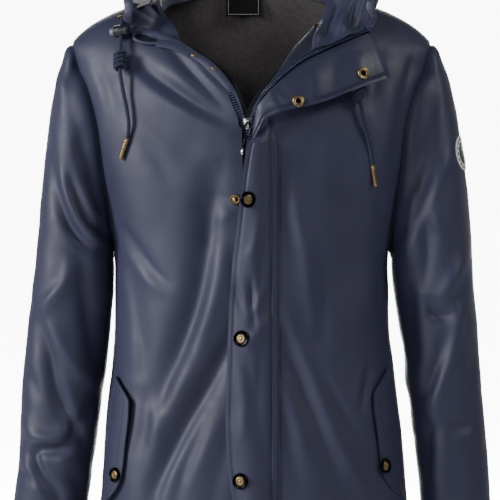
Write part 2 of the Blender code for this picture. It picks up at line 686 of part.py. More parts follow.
def path_place(route, fraction):
    """Point and downward direction part of the way along a cord's route."""
    path = smooth_path(route, 60)
    index = int(fraction * 60)
    return path[index], (path[index + 1] - path[index - 1]).normalized()


KNOTS = {"right": (RIGHT_CORD, 0.445, 0.0270, 4), "left": (LEFT_CORD, 0.5, 0.0190, 3)}
LOCKS = {"right": (RIGHT_CORD, 0.165), "left": (LEFT_CORD, 0.210)}


def make_knots_and_locks():
    for name, (route, fraction, height, bumps) in KNOTS.items():
        place, down = path_place(route, fraction)
        profile = ring_profile(0.0042, bumps, height, 0.0082, 0.0016)
        turned(name + "_cord_knot", profile, place, -down, CORD, 14, True)
    for name, (route, fraction) in LOCKS.items():
        place, down = path_place(route, fraction)
        side = -1.0 if name == "right" else 1.0
        normal = surface_normal(place.x, place.z)
        axis = down.cross(normal).normalized()
        if axis.x * side < 0:
            axis = -axis
        body = [(0.0, 0.0100), (0.0070, 0.0100), (0.0080, 0.0090), (0.0080, -0.0090), (0.0070, -0.0100),
                (0.0, -0.0100)]
        lock = turned(name + "_cord_lock", body, place, axis, LOCK, 16)
        well = [(0.0, 0.0120), (0.0054, 0.0120), (0.0054, 0.0046), (0.0, 0.0046)]
        cut(lock, turned(name + "_button_well", well, place, axis, LOCK, 16, collection=CUTTERS))
        bore = [(0.0, 0.0200), (CORD_BORE, 0.0200), (CORD_BORE, -0.0200), (0.0, -0.0200)]
        cut(lock, turned(name + "_cord_bore", bore, place, -down, LOCK, 12, collection=CUTTERS))
        button = [(0.0, 0.0155), (0.0040, 0.0155), (0.0049, 0.0146), (0.0049, 0.0088), (0.0, 0.0088)]
        turned(name + "_lock_button", button, place, axis, BUTTON, 16)


def make_neck():
    """Facing inside the neck, the label on it and the hanging loop."""
    rows = []
    for scale, drop in ((0.70, 0.006), (0.68, 0.022), (0.66, 0.038)):
        row = []
        for place in spread(-0.86, 0.86, 16):
            seam = hood_station(place)[0]
            row.append(Vector((seam.x * scale, seam.y * scale, seam.z - drop)))
        rows.append(row)
    shell("neck_facing", rows, NAVY, from_axis, 0.0015)
    box("neck_label", (0.047, 0.0008, 0.030), (-0.0110, 0.0480, -0.0070), LABEL)
    loop = [(-0.034, 0.030), (-0.031, 0.013), (-0.024, 0.0105), (0.024, 0.0105), (0.031, 0.013),
            (0.034, 0.030)]
    rows = [[Vector((x, y, z)) for y in (0.0350, 0.0430)] for x, z in loop]
    shell("hanger_loop", rows, NAVY, (0, 0, -1), 0.0015)


make_body_panels()
make_facing("right_front_facing", -1)
make_zip()
make_slider()
make_storm_flap()
make_lapel()
make_snaps()
make_pocket(-1.0, "right")
make_pocket(1.0, "left")
make_sleeve(-1.0, "right")
make_sleeve(1.0, "left")
make_badge()
make_hood()
make_eyelets_and_cords()
make_knots_and_locks()
make_neck()
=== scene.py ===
"""Foul weather jacket, shown filled out: coated fabric panels, lining, zip, studs, hood and drawcords."""
import math

import bmesh
import bpy
import numpy as np
from mathutils import Matrix, Vector
from mathutils.bvhtree import BVHTree


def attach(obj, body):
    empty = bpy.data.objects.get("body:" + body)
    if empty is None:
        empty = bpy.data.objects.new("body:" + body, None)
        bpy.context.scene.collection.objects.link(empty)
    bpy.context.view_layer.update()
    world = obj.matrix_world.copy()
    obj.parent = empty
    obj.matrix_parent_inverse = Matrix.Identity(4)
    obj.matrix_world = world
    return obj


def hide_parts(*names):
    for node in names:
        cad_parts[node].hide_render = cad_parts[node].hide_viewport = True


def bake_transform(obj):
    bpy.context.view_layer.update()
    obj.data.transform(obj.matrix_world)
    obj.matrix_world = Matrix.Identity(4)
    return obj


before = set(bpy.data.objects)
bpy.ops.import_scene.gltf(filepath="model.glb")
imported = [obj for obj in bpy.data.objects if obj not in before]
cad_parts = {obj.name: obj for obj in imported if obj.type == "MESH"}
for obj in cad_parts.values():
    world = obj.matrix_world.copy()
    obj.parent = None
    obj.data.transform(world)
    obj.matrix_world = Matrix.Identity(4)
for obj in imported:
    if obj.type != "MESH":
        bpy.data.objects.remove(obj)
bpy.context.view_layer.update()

# ---------------------------------------------------------------------------------------------
# Camera
# ---------------------------------------------------------------------------------------------
VIEW_CENTRE = (-0.002, 0.0, -0.3417)
VIEW_DISTANCE = 3.0
VIEW_WIDTH = 0.670


def make_camera():
    data = bpy.data.cameras.new("camera")
    data.sensor_width = 36.0
    data.lens = data.sensor_width * VIEW_DISTANCE / VIEW_WIDTH
    camera = bpy.data.objects.new("camera", data)
    camera.location = (VIEW_CENTRE[0], -VIEW_DISTANCE, VIEW_CENTRE[2])
    camera.rotation_euler = (math.radians(90), 0, 0)
    bpy.context.scene.collection.objects.link(camera)
    bpy.context.scene.camera = camera


make_camera()


# ---------------------------------------------------------------------------------------------
# Materials
# ---------------------------------------------------------------------------------------------
def srgb(red, green, blue):
    return tuple((value / 255.0) ** 2.2 for value in (red, green, blue)) + (1.0,)


class Shader:
    """A Principled material with short helpers for its nodes."""

    def __init__(self, name, roughness, metallic=0.0, **uniform):
        self.material = bpy.data.materials.new(name)
        self.material.use_nodes = True
        self.tree = self.material.node_tree
        self.out = self.tree.nodes["Principled BSDF"]
        self.out.inputs["Roughness"].default_value = roughness
        self.out.inputs["Metallic"].default_value = metallic
        for label, value in uniform.items():
            self.out.inputs[label.replace("_", " ")].default_value = value
        self.place = self.node("ShaderNodeTexCoord").outputs["Object"]
        self.last_bump = None

    def node(self, kind, **values):
        made = self.tree.nodes.new(kind)
        for label, value in values.items():
            setattr(made, label, value)
        return made

    def link(self, source, target):
        self.tree.links.new(source, target)

    def noise(self, scale, detail=3.0, roughness=0.55, stretch=(1, 1, 1), turn=0.0):
        mapping = self.node("ShaderNodeMapping")
        mapping.inputs["Scale"].default_value = stretch
        mapping.inputs["Rotation"].default_value = (0, turn, 0)
        self.link(self.place, mapping.inputs["Vector"])
        texture = self.node("ShaderNodeTexNoise")
        texture.inputs["Scale"].default_value = scale
        texture.inputs["Detail"].default_value = detail
        texture.inputs["Roughness"].default_value = roughness
        self.link(mapping.outputs["Vector"], texture.inputs["Vector"])
        return texture.outputs["Fac"]

    def wave(self, scale, direction, distortion=0.0, turn=0.0):
        mapping = self.node("ShaderNodeMapping")
        mapping.inputs["Rotation"].default_value = (0, turn, 0)
        self.link(self.place, mapping.inputs["Vector"])
        texture = self.node("ShaderNodeTexWave", bands_direction=direction)
        texture.inputs["Scale"].default_value = scale
        texture.inputs["Distortion"].default_value = distortion
        self.link(mapping.outputs["Vector"], texture.inputs["Vector"])
        return texture.outputs["Fac"]

    def combine(self, operation, a, b):
        made = self.node("ShaderNodeMath", operation=operation)
        for socket, value in zip(made.inputs, (a, b)):
            if isinstance(value, (int, float)):
                socket.default_value = value
            else:
                self.link(value, socket)
        return made.outputs[0]

    def ramp(self, factor, stops):
        made = self.node("ShaderNodeValToRGB")
        elements = made.color_ramp.elements
        while len(elements) < len(stops):
            elements.new(0.5)
        for element, (position, colour) in zip(elements, stops):
            element.position = position
            element.color = colour if isinstance(colour, tuple) else (colour, colour, colour, 1.0)
        self.link(factor, made.inputs["Fac"])
        return made.outputs["Color"]

    def colour(self, factor, stops):
        self.link(self.ramp(factor, stops), self.out.inputs["Base Color"])

    def rough(self, factor, low, high):
        self.link(self.ramp(factor, [(0.3, low), (0.7, high)]), self.out.inputs["Roughness"])

    def bump(self, height, distance, strength=1.0):
        made = self.node("ShaderNodeBump")
        made.inputs["Distance"].default_value = distance
        made.inputs["Strength"].default_value = strength
        self.link(height, made.inputs["Height"])
        if self.last_bump is not None:
            self.link(self.last_bump, made.inputs["Normal"])
        self.last_bump = made.outputs["Normal"]
        self.link(self.last_bump, self.out.inputs["Normal"])


def coated_fabric(name, low, high, roughness=(0.40, 0.50)):
    """Semi-gloss polyurethane coating: fine grain, slight unevenness and soft creasing."""
    shader = Shader(name, 0.45, Specular_IOR_Level=0.5, Sheen_Weight=0.05, Sheen_Roughness=0.4)
    broad = shader.noise(9.0, 3.0)
    shader.colour(broad, [(0.35, low), (0.65, high)])
    shader.rough(shader.noise(55.0, 4.0), *roughness)
    shader.bump(shader.noise(28.0, 3.0, stretch=(1.0, 1.0, 0.45)), 0.0022, 0.30)
    grain = shader.combine("ADD", shader.noise(1500.0, 2.0), shader.noise(500.0, 2.0))
    shader.bump(grain, 0.00012, 0.5)
    return shader.material


def jersey(name, low, high, roughness=0.92):
    """Brushed knit with faint wales."""
    shader = Shader(name, roughness, Specular_IOR_Level=0.15, Sheen_Weight=0.25, Sheen_Roughness=0.5)
    shader.colour(shader.noise(220.0, 5.0), [(0.30, low), (0.70, high)])
    wales = shader.combine("MULTIPLY", shader.wave(330.0, "X", 1.5), shader.noise(900.0))
    shader.bump(wales, 0.0004, 0.6)
    shader.bump(shader.noise(30.0, 3.0), 0.002, 0.3)
    return shader.material


def woven_tape(name, low, high):
    shader = Shader(name, 0.8, Specular_IOR_Level=0.25)
    weave = shader.combine("MULTIPLY", shader.wave(700.0, "X"), shader.wave(700.0, "Z"))
    shader.colour(weave, [(0.0, low), (0.6, high)])
    shader.bump(weave, 0.0003, 0.8)
    return shader.material


def braid(name, low, high):
    shader = Shader(name, 0.72, Specular_IOR_Level=0.3, Sheen_Weight=0.15, Sheen_Roughness=0.4)
    fibre = shader.noise(900.0, 4.0)
    shader.colour(fibre, [(0.3, low), (0.7, high)])
    shader.bump(fibre, 0.0003, 0.7)
    return shader.material


def moulded(name, low, high, roughness=(0.35, 0.5)):
    shader = Shader(name, 0.4, Specular_IOR_Level=0.5)
    shader.colour(shader.noise(120.0, 3.0), [(0.35, low), (0.65, high)])
    shader.rough(shader.noise(300.0), *roughness)
    shader.bump(shader.noise(1500.0), 0.00008, 0.5)
    return shader.material


def metal(name, low, high, roughness, tarnish=0.5):
    """Plated metal with random darker patches and faint scuffs."""
    shader = Shader(name, 0.3, 1.0)
    patchy = shader.noise(420.0, 5.0)
    shader.colour(patchy, [(0.30, low), (tarnish, high)])
    shader.rough(patchy, roughness[1], roughness[0])
    shader.bump(shader.noise(1800.0, 2.0), 0.00006, 0.5)
    return shader.material


NAVY = coated_fabric("coated_navy", srgb(45, 46, 68), srgb(49, 50, 74), (0.52, 0.60))
NAVY_INSIDE = coated_fabric("coated_navy_inside", srgb(38, 40, 62), srgb(43, 45, 67), (0.42, 0.52))
NAVY_FACING = coated_fabric("coated_navy_facing", srgb(28, 30, 46), srgb(33, 35, 52), (0.45, 0.55))
CHARCOAL = jersey("charcoal_lining", srgb(78, 74, 77), srgb(94, 89, 92))
GREY_JERSEY = jersey("grey_jersey", srgb(150, 147, 151), srgb(196, 193, 196))
TAPE = woven_tape("zip_tape", srgb(12, 13, 20), srgb(30, 32, 46))
TEETH = moulded("zip_teeth", srgb(58, 63, 92), srgb(78, 84, 116), (0.28, 0.40))
STEEL = metal("bright_steel", srgb(120, 120, 126), srgb(205, 205, 210), (0.18, 0.35))
DARK_STEEL = metal("black_nickel", srgb(14, 14, 16), srgb(30, 30, 33), (0.16, 0.30))
BRASS = metal("antique_brass", srgb(84, 70, 48), srgb(150, 131, 98), (0.28, 0.46))
CORD = braid("braided_cord", srgb(24, 28, 46), srgb(46, 50, 72))
THREAD = braid("thread", srgb(22, 25, 40), srgb(40, 43, 62))
LOCK = moulded("lock_plastic", srgb(22, 24, 34), srgb(30, 33, 45))
BUTTON = moulded("button_plastic", srgb(92, 92, 100), srgb(110, 110, 118))
LABEL = woven_tape("woven_label", srgb(10, 10, 11), srgb(30, 30, 32))
RUBBER_WHITE = moulded("badge_white", srgb(205, 205, 202), srgb(232, 232, 230), (0.5, 0.6))
RUBBER_BLACK = moulded("badge_black", srgb(14, 14, 16), srgb(24, 24, 27), (0.4, 0.55))

PIECES = bpy.data.collections.new("jacket_pieces")
bpy.context.scene.collection.children.link(PIECES)


# ---------------------------------------------------------------------------------------------
# Curves and meshes
# ---------------------------------------------------------------------------------------------
def spline(table, keys):
    """Smooth curve through a table's rows, read at the keys; the first column is the key."""
    rows = np.array(sorted(table), float)
    spots, values = rows[:, 0], rows[:, 1:]
    slopes = np.gradient(values, spots, axis=0)
    keys = np.clip(np.asarray(keys, float), spots[0], spots[-1])
    i = np.clip(np.searchsorted(spots, keys) - 1, 0, len(spots) - 2)
    span = spots[i + 1] - spots[i]
    t = ((keys - spots[i]) / span)[..., None]
    span = span[..., None]
    found = ((1 + 2 * t) * (1 - t) ** 2 * values[i] + t * (1 - t) ** 2 * span * slopes[i]
             + t ** 2 * (3 - 2 * t) * values[i + 1] + t ** 2 * (t - 1) * span * slopes[i + 1])
    return found[..., 0] if found.shape[-1] == 1 else found


def smooth_path(points, samples):
    """Points along a Catmull-Rom curve through the given points, with even steps per stretch."""
    nodes = np.array(points, float)
    nodes = np.vstack([2 * nodes[0] - nodes[1], nodes, 2 * nodes[-1] - nodes[-2]])
    place = np.linspace(0, len(nodes) - 3, samples + 1)
    i = np.minimum(place.astype(int), len(nodes) - 4)
    t = (place - i)[:, None]
    a, b, c, d = nodes[i], nodes[i + 1], nodes[i + 2], nodes[i + 3]
    return 0.5 * (2 * b + (c - a) * t + (2 * a - 5 * b + 4 * c - d) * t ** 2
                  + (3 * b - a - 3 * c + d) * t ** 3)


def even_path(points, step):
    """Points on the smooth curve, an even distance apart."""
    fine = smooth_path(points, 40 * len(points))
    length = np.concatenate([[0], np.cumsum(np.linalg.norm(np.diff(fine, axis=0), axis=1))])
    count = max(2, int(round(length[-1] / step)))
    marks = np.linspace(0, length[-1], count + 1)
    return np.stack([np.interp(marks, length, fine[:, k]) for k in range(fine.shape[1])], axis=1)


def unit(vectors):
    return vectors / np.maximum(np.linalg.norm(vectors, axis=-1, keepdims=True), 1e-9)


def step_up(low, high, value):
    t = np.clip((value - low) / (high - low), 0, 1)
    return t * t * (3 - 2 * t)


def grid_normals(grid, outward, closed=False):
    """Unit normals of a grid of points, turned to the side that the outward function names."""
    if closed:
        across = np.roll(grid, -1, axis=1) - np.roll(grid, 1, axis=1)
    else:
        across = np.gradient(grid, axis=1)
    along = np.gradient(grid, axis=0)
    normals = unit(np.cross(across, along))
    if np.sum(normals * outward(grid)) < 0:
        normals = -normals
    return normals


def from_axis(grid):
    """Direction away from the body's middle line."""
    out = grid.copy()
    out[..., 2] = 0
    return out


def toward(x, y, z):
    return lambda grid: np.broadcast_to(np.array([x, y, z], float), grid.shape)


def new_object(name, vertices, faces, material, smooth=True):
    mesh = bpy.data.meshes.new(name)
    mesh.from_pydata([tuple(v) for v in vertices], [], faces)
    mesh.validate()
    if smooth:
        mesh.shade_smooth()
        mesh.set_sharp_from_angle(angle=math.radians(42))
    mesh.materials.append(material)
    thing = bpy.data.objects.new(name, mesh)
    PIECES.objects.link(thing)
    return thing


def cloth(name, grid, material, outward, thickness=0.0016, closed=False, inside=None, normals=None,
          solidify=False):
    """Sheet of fabric with thickness: its outer face runs through the grid's points. With solidify
    the thickness is a modifier, for a sheet that bends a long way."""
    if normals is None:
        normals = grid_normals(grid, outward, closed)
    rows, columns = grid.shape[:2]
    outer = grid.reshape(-1, 3)
    inner = (grid - normals * thickness).reshape(-1, 3)
    count = len(outer)
    steps = columns if closed else columns - 1
    sample = np.cross(grid[0, 1] - grid[0, 0], grid[1, 0] - grid[0, 0])
    flip = np.dot(sample, normals[0, 0]) < 0
    faces = []

    def quad(a, b, c, d):
        faces.append((d, c, b, a) if flip else (a, b, c, d))

    for r in range(rows - 1):
        for c in range(steps):
            n = (c + 1) % columns
            a, b, u, v = r * columns + c, r * columns + n, (r + 1) * columns + n, (r + 1) * columns + c
            quad(a, b, u, v)
    outer_faces = len(faces)
    if solidify:
        thing = new_object(name, outer, faces, material)
        thing.data.materials.append(inside)
        modifier = thing.modifiers.new("thickness", "SOLIDIFY")
        modifier.thickness, modifier.offset = thickness, -1.0
        modifier.material_offset = 1
        return thing
    for face in faces[:outer_faces]:
        faces.append(tuple(count + index for index in reversed(face)))
    for c in range(steps):
        n = (c + 1) % columns
        quad(count + c, count + n, n, c)
        last = (rows - 1) * columns
        quad(last + c, last + n, count + last + n, count + last + c)
    if not closed:
        for r in range(rows - 1):
            a, b = r * columns, (r + 1) * columns
            quad(a, b, count + b, count + a)
            a, b = a + columns - 1, b + columns - 1
            quad(count + a, count + b, b, a)
    thing = new_object(name, np.vstack([outer, inner]), faces, material)
    if inside is not None:
        thing.data.materials.append(inside)
        for polygon in thing.data.polygons[outer_faces:2 * outer_faces]:
            polygon.material_index = 1
    return thing


def frames_along(path):
    """Tangents and two side directions along a path, without twist."""
    tangents = unit(np.gradient(path, axis=0))
    side = np.cross(tangents[0], [0.0, 1.0, 0.2])
    sides = []
    for tangent in tangents:
        side = side - tangent * np.dot(side, tangent)
        side = side / np.linalg.norm(side)
        sides.append(side)
    sides = np.array(sides)
    return tangents, sides, np.cross(tangents, sides)


def tube_mesh(path, radius, sides=12, braided=0.0, pitch=0.010):
    """Vertices and faces of a round tube with closed ends; braided adds a plaited relief."""
    path = np.asarray(path, float)
    _, first, second = frames_along(path)
    length = np.concatenate([[0], np.cumsum(np.linalg.norm(np.diff(path, axis=0), axis=1))])
    turn = np.arange(sides) * 2 * math.pi / sides
    radius = np.broadcast_to(np.asarray(radius, float), (len(path),))
    relief = 0.0
    if braided:
        way = 2 * math.pi * length[:, None] / pitch
        one = np.cos(4 * turn[None, :] + 2 * way)
        two = np.cos(4 * turn[None, :] - 2 * way)
        relief = braided * np.maximum(one, two)
    reach = radius[:, None] + relief - braided
    points = (path[:, None] + first[:, None] * (np.cos(turn)[None, :] * reach)[..., None]
              + second[:, None] * (np.sin(turn)[None, :] * reach)[..., None])
    vertices = points.reshape(-1, 3)
    faces = []
    for r in range(len(path) - 1):
        for c in range(sides):
            n = (c + 1) % sides
            faces.append((r * sides + c, r * sides + n, (r + 1) * sides + n, (r + 1) * sides + c))
    base = len(vertices)
    vertices = np.vstack([vertices, path[0], path[-1]])
    last = (len(path) - 1) * sides
    for c in range(sides):
        n = (c + 1) % sides
        faces.append((base, c, n)[::-1])
        faces.append((base + 1, last + n, last + c)[::-1])
    return vertices, faces


def join_meshes(parts):
    vertices, faces, start = [], [], 0
    for part_vertices, part_faces in parts:
        vertices.append(part_vertices)
        faces.extend(tuple(index + start for index in face) for face in part_faces)
        start += len(part_vertices)
    return np.vstack(vertices), faces


def facing(direction):
    """Rotation that turns +Z to the direction."""
    return np.array(Vector((0, 0, 1)).rotation_difference(Vector(direction).normalized()).to_matrix())


def turned_mesh(profile, place, direction, steps=32):
    """Vertices and faces of a closed turned body; profile is (radius, height), ends on the axis."""
    profile = np.array(profile, float)
    turn = np.arange(steps) * 2 * math.pi / steps
    body = profile[1:-1]
    ring = np.stack([body[:, 0, None] * np.cos(turn), body[:, 0, None] * np.sin(turn),
                     np.repeat(body[:, 1, None], steps, axis=1)], axis=-1)
    vertices = np.vstack([ring.reshape(-1, 3), [0, 0, profile[0, 1]], [0, 0, profile[-1, 1]]])
    faces = []
    for r in range(len(body) - 1):
        for c in range(steps):
            n = (c + 1) % steps
            faces.append((r * steps + n, r * steps + c, (r + 1) * steps + c, (r + 1) * steps + n))
    top, bottom, last = len(vertices) - 2, len(vertices) - 1, (len(body) - 1) * steps
    for c in range(steps):
        n = (c + 1) % steps
        faces.append((top, c, n))
        faces.append((bottom, last + n, last + c))
    return vertices @ facing(direction).T + np.array(place, float), faces


def ring_mesh(profile, place, direction, steps=32):
    """Vertices and faces of a turned ring; profile is a closed loop of (radius, height)."""
    profile = np.array(profile, float)
    turn = np.arange(steps) * 2 * math.pi / steps
    ring = np.stack([profile[:, 0, None] * np.cos(turn), profile[:, 0, None] * np.sin(turn),
                     np.repeat(profile[:, 1, None], steps, axis=1)], axis=-1)
    count = len(profile)
    area = np.sum(profile[:, 0] * np.roll(profile[:, 1], -1) - np.roll(profile[:, 0], -1) * profile[:, 1])
    faces = []
    for r in range(count):
        m = (r + 1) % count
        for c in range(steps):
            n = (c + 1) % steps
            face = (r * steps + c, r * steps + n, m * steps + n, m * steps + c)
            faces.append(face if area > 0 else face[::-1])
    return ring.reshape(-1, 3) @ facing(direction).T + np.array(place, float), faces


def rounded_box_mesh(size, place, rotation=None, bevel=0.15):
    """Vertices and faces of a block with chamfered edges."""
    cage = bmesh.new()
    bmesh.ops.create_cube(cage, size=1.0)
    bmesh.ops.scale(cage, vec=size, verts=cage.verts)
    bmesh.ops.bevel(cage, geom=cage.edges[:], offset=bevel * min(size), segments=2, affect="EDGES")
    cage.verts.index_update()
    vertices = np.array([vertex.co for vertex in cage.verts])
    faces = [tuple(vertex.index for vertex in face.verts) for face in cage.faces]
    cage.free()
    if rotation is not None:
        vertices = vertices @ np.array(rotation).T
    return vertices + np.array(place, float), faces


def done(thing, body, *nodes, slot=None):
    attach(thing, body)
    if nodes:
        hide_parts(*nodes)
    return thing


# ---------------------------------------------------------------------------------------------
# The body's surface, the same as the frame's, in metres
# ---------------------------------------------------------------------------------------------
HEM_Z, SHOULDER_Z, UNDERARM_Z, CUFF_Z = -0.760, -0.066, -0.345, -0.712
SECTION_POWER = 2.4
ZIP_TOP_Z, ZIP_BOTTOM_Z, ZIP_TOP_X, ZIP_BOTTOM_X = -0.180, -0.705, -0.004, 0.006
FLAP_SEAM_X = 0.031
STEP = 0.0034               # spacing of the cloth grids

# Height, half width, front depth and back depth.
BODY_STATIONS = [
    (-0.760, 0.2080, 0.130, 0.122), (-0.677, 0.2035, 0.130, 0.118), (-0.594, 0.1970, 0.130, 0.115),
    (-0.500, 0.1880, 0.130, 0.114), (-0.456, 0.1840, 0.130, 0.115), (-0.400, 0.1822, 0.130, 0.118),
    (-0.345, 0.1826, 0.130, 0.121), (-0.300, 0.1910, 0.130, 0.124), (-0.2345, 0.2070, 0.130, 0.124),
    (-0.180, 0.2180, 0.128, 0.122), (-0.105, 0.2360, 0.110, 0.112), (-0.066, 0.2405, 0.088, 0.104),
    (-0.050, 0.2260, 0.078, 0.101), (-0.0335, 0.2020, 0.066, 0.097), (-0.0214, 0.1770, 0.052, 0.094),
    (0.000, 0.1160, 0.014, 0.088), (0.022, 0.0700, 0.010, 0.080)]
ARMHOLE = [(-0.345, 0.1826), (-0.300, 0.1865), (-0.2345, 0.1963), (-0.174, 0.2044), (-0.147, 0.2111),
           (-0.123, 0.2191), (-0.1045, 0.2285), (-0.080, 0.2355), (-0.066, 0.2400)]
RIGHT_EDGE = [(-0.190, 0.0080), (-0.176, 0.0085), (-0.161, 0.0125), (-0.143, 0.0180), (-0.128, 0.0270),
              (-0.112, 0.0385), (-0.097, 0.0540), (-0.084, 0.0730), (-0.071, 0.0920), (-0.061, 0.1110),
              (-0.054, 0.1290), (-0.046, 0.1450), (-0.030, 0.1500), (0.000, 0.1480)]
LEFT_EDGE = [(-0.190, 0.0060), (-0.176, 0.0080), (-0.168, 0.0170), (-0.151, 0.0250), (-0.122, 0.0420),
             (-0.093, 0.0600), (-0.074, 0.0740), (-0.059, 0.0830), (-0.040, 0.0970), (-0.020, 0.1090),
             (0.000, 0.1160)]
BACK_NECK = [(-0.0214, 0.1770), (0.000, 0.1150), (0.016, 0.0600), (0.022, 0.0300)]


def zip_x(z):
    t = (np.asarray(z) - ZIP_TOP_Z) / (ZIP_BOTTOM_Z - ZIP_TOP_Z)
    return ZIP_TOP_X + (ZIP_BOTTOM_X - ZIP_TOP_X) * t


def body_point(x, z, proud=0.0, front=True):
    """Points of the body's surface, moved out of it by proud."""
    x, z = np.broadcast_arrays(np.asarray(x, float), np.asarray(z, float))
    station = spline(BODY_STATIONS, z)
    depth = station[..., 1] if front else station[..., 2]
    ratio = np.minimum(np.abs(x) / (station[..., 0] + np.maximum(proud, 0)), 1.0)
    y = (depth + proud) * (1 - ratio ** SECTION_POWER) ** (1 / SECTION_POWER)
    return np.stack([x, -y if front else y, z], axis=-1)


def body_normal(x, z, proud=0.0, front=True):
    step = 0.002
    here = body_point(x, z, proud, front)
    across = body_point(x + step, z, proud, front) - here
    up = body_point(x, z + step, proud, front) - here
    return unit(np.cross(across, up)) * (1.0 if front else -1.0)


def section_grid(heights, start, end, columns, proud=0.0, front=True):
    """Rows at the heights from the start to the end distance, closer together where it curves."""
    half = spline(BODY_STATIONS, heights)[:, 0] + max(proud, 0.0)
    power = SECTION_POWER / 2

    def angle(x):
        return np.sign(x) * np.arcsin(np.minimum(np.abs(x) / half, 1.0) ** power)

    a, b = angle(start), angle(end)
    turn = a[:, None] + (b - a)[:, None] * np.linspace(0, 1, columns)[None, :]
    x = half[:, None] * np.sign(turn) * np.abs(np.sin(turn)) ** (1 / power)
    return body_point(x, np.repeat(heights[:, None], columns, axis=1), proud, front)


def folds(grid, strokes):
    """Height of the cloth over its smooth shape; each stroke is (height, width before its line,
    width after its line, route), with the route's points as (x, z)."""
    x, z = grid[..., 0].ravel(), grid[..., 2].ravel()
    total = np.zeros_like(x)
    for height, before, after, route in strokes:
        line = smooth_path(route, 8 * (len(route) - 1))
        reach = 2.6 * max(before, after)
        near = ((x > line[:, 0].min() - reach) & (x < line[:, 0].max() + reach)
                & (z > line[:, 1].min() - reach) & (z < line[:, 1].max() + reach))
        if not near.any():
            continue
        points = np.stack([x[near], z[near]], axis=1)
        best = np.full(len(points), 1e9)
        signed = np.zeros(len(points))
        place = np.zeros(len(points))
        for i in range(len(line) - 1):
            a, way = line[i], line[i + 1] - line[i]
            size = np.linalg.norm(way)
            along = np.clip(((points - a) @ way) / size ** 2, 0, 1)
            gap = points - (a + along[:, None] * way)
            distance = np.linalg.norm(gap, axis=1)
            closer = distance < best
            best[closer] = distance[closer]
            turn = way[0] * gap[:, 1] - way[1] * gap[:, 0]
            signed[closer] = turn[closer]
            place[closer] = ((i + along) / (len(line) - 1))[closer]
        width = np.where(signed > 0, before, after)
        taper = np.sin(math.pi * place) ** 0.8
        total[near] += height * np.exp(-(best / width) ** 2) * taper
    return softened(total.reshape(grid.shape[:-1]), 2)


def softened(height, times):
    """Heights with each point moved toward the mean of its neighbours."""
    for _ in range(times):
        for axis in (0, 1):
            fore = np.concatenate([height.take([0], axis), height], axis)
            fore = fore.take(range(height.shape[axis]), axis)
            aft = np.concatenate([height, height.take([-1], axis)], axis).take(
                range(1, height.shape[axis] + 1), axis)
            height = (fore + 2 * height + aft) / 4
    return height


def ripple(grid, scale, height, seed, stretch=(1.0, 1.0, 1.0)):
    """Soft irregular unevenness from a few random waves."""
    draw = np.random.default_rng(seed)
    total = np.zeros(grid.shape[:-1])
    for _ in range(14):
        way = unit(draw.normal(size=3)) * np.array(stretch) * 2 * math.pi / (scale * draw.uniform(0.7, 1.8))
        total += np.sin(grid @ way + draw.uniform(0, 2 * math.pi))
    return total * height / 3.7


def seam_dip(distance, depth=0.0020, width=0.0030):
    """How far the cloth dips beside a seam."""
    return -depth * np.exp(-(distance / width) ** 2)


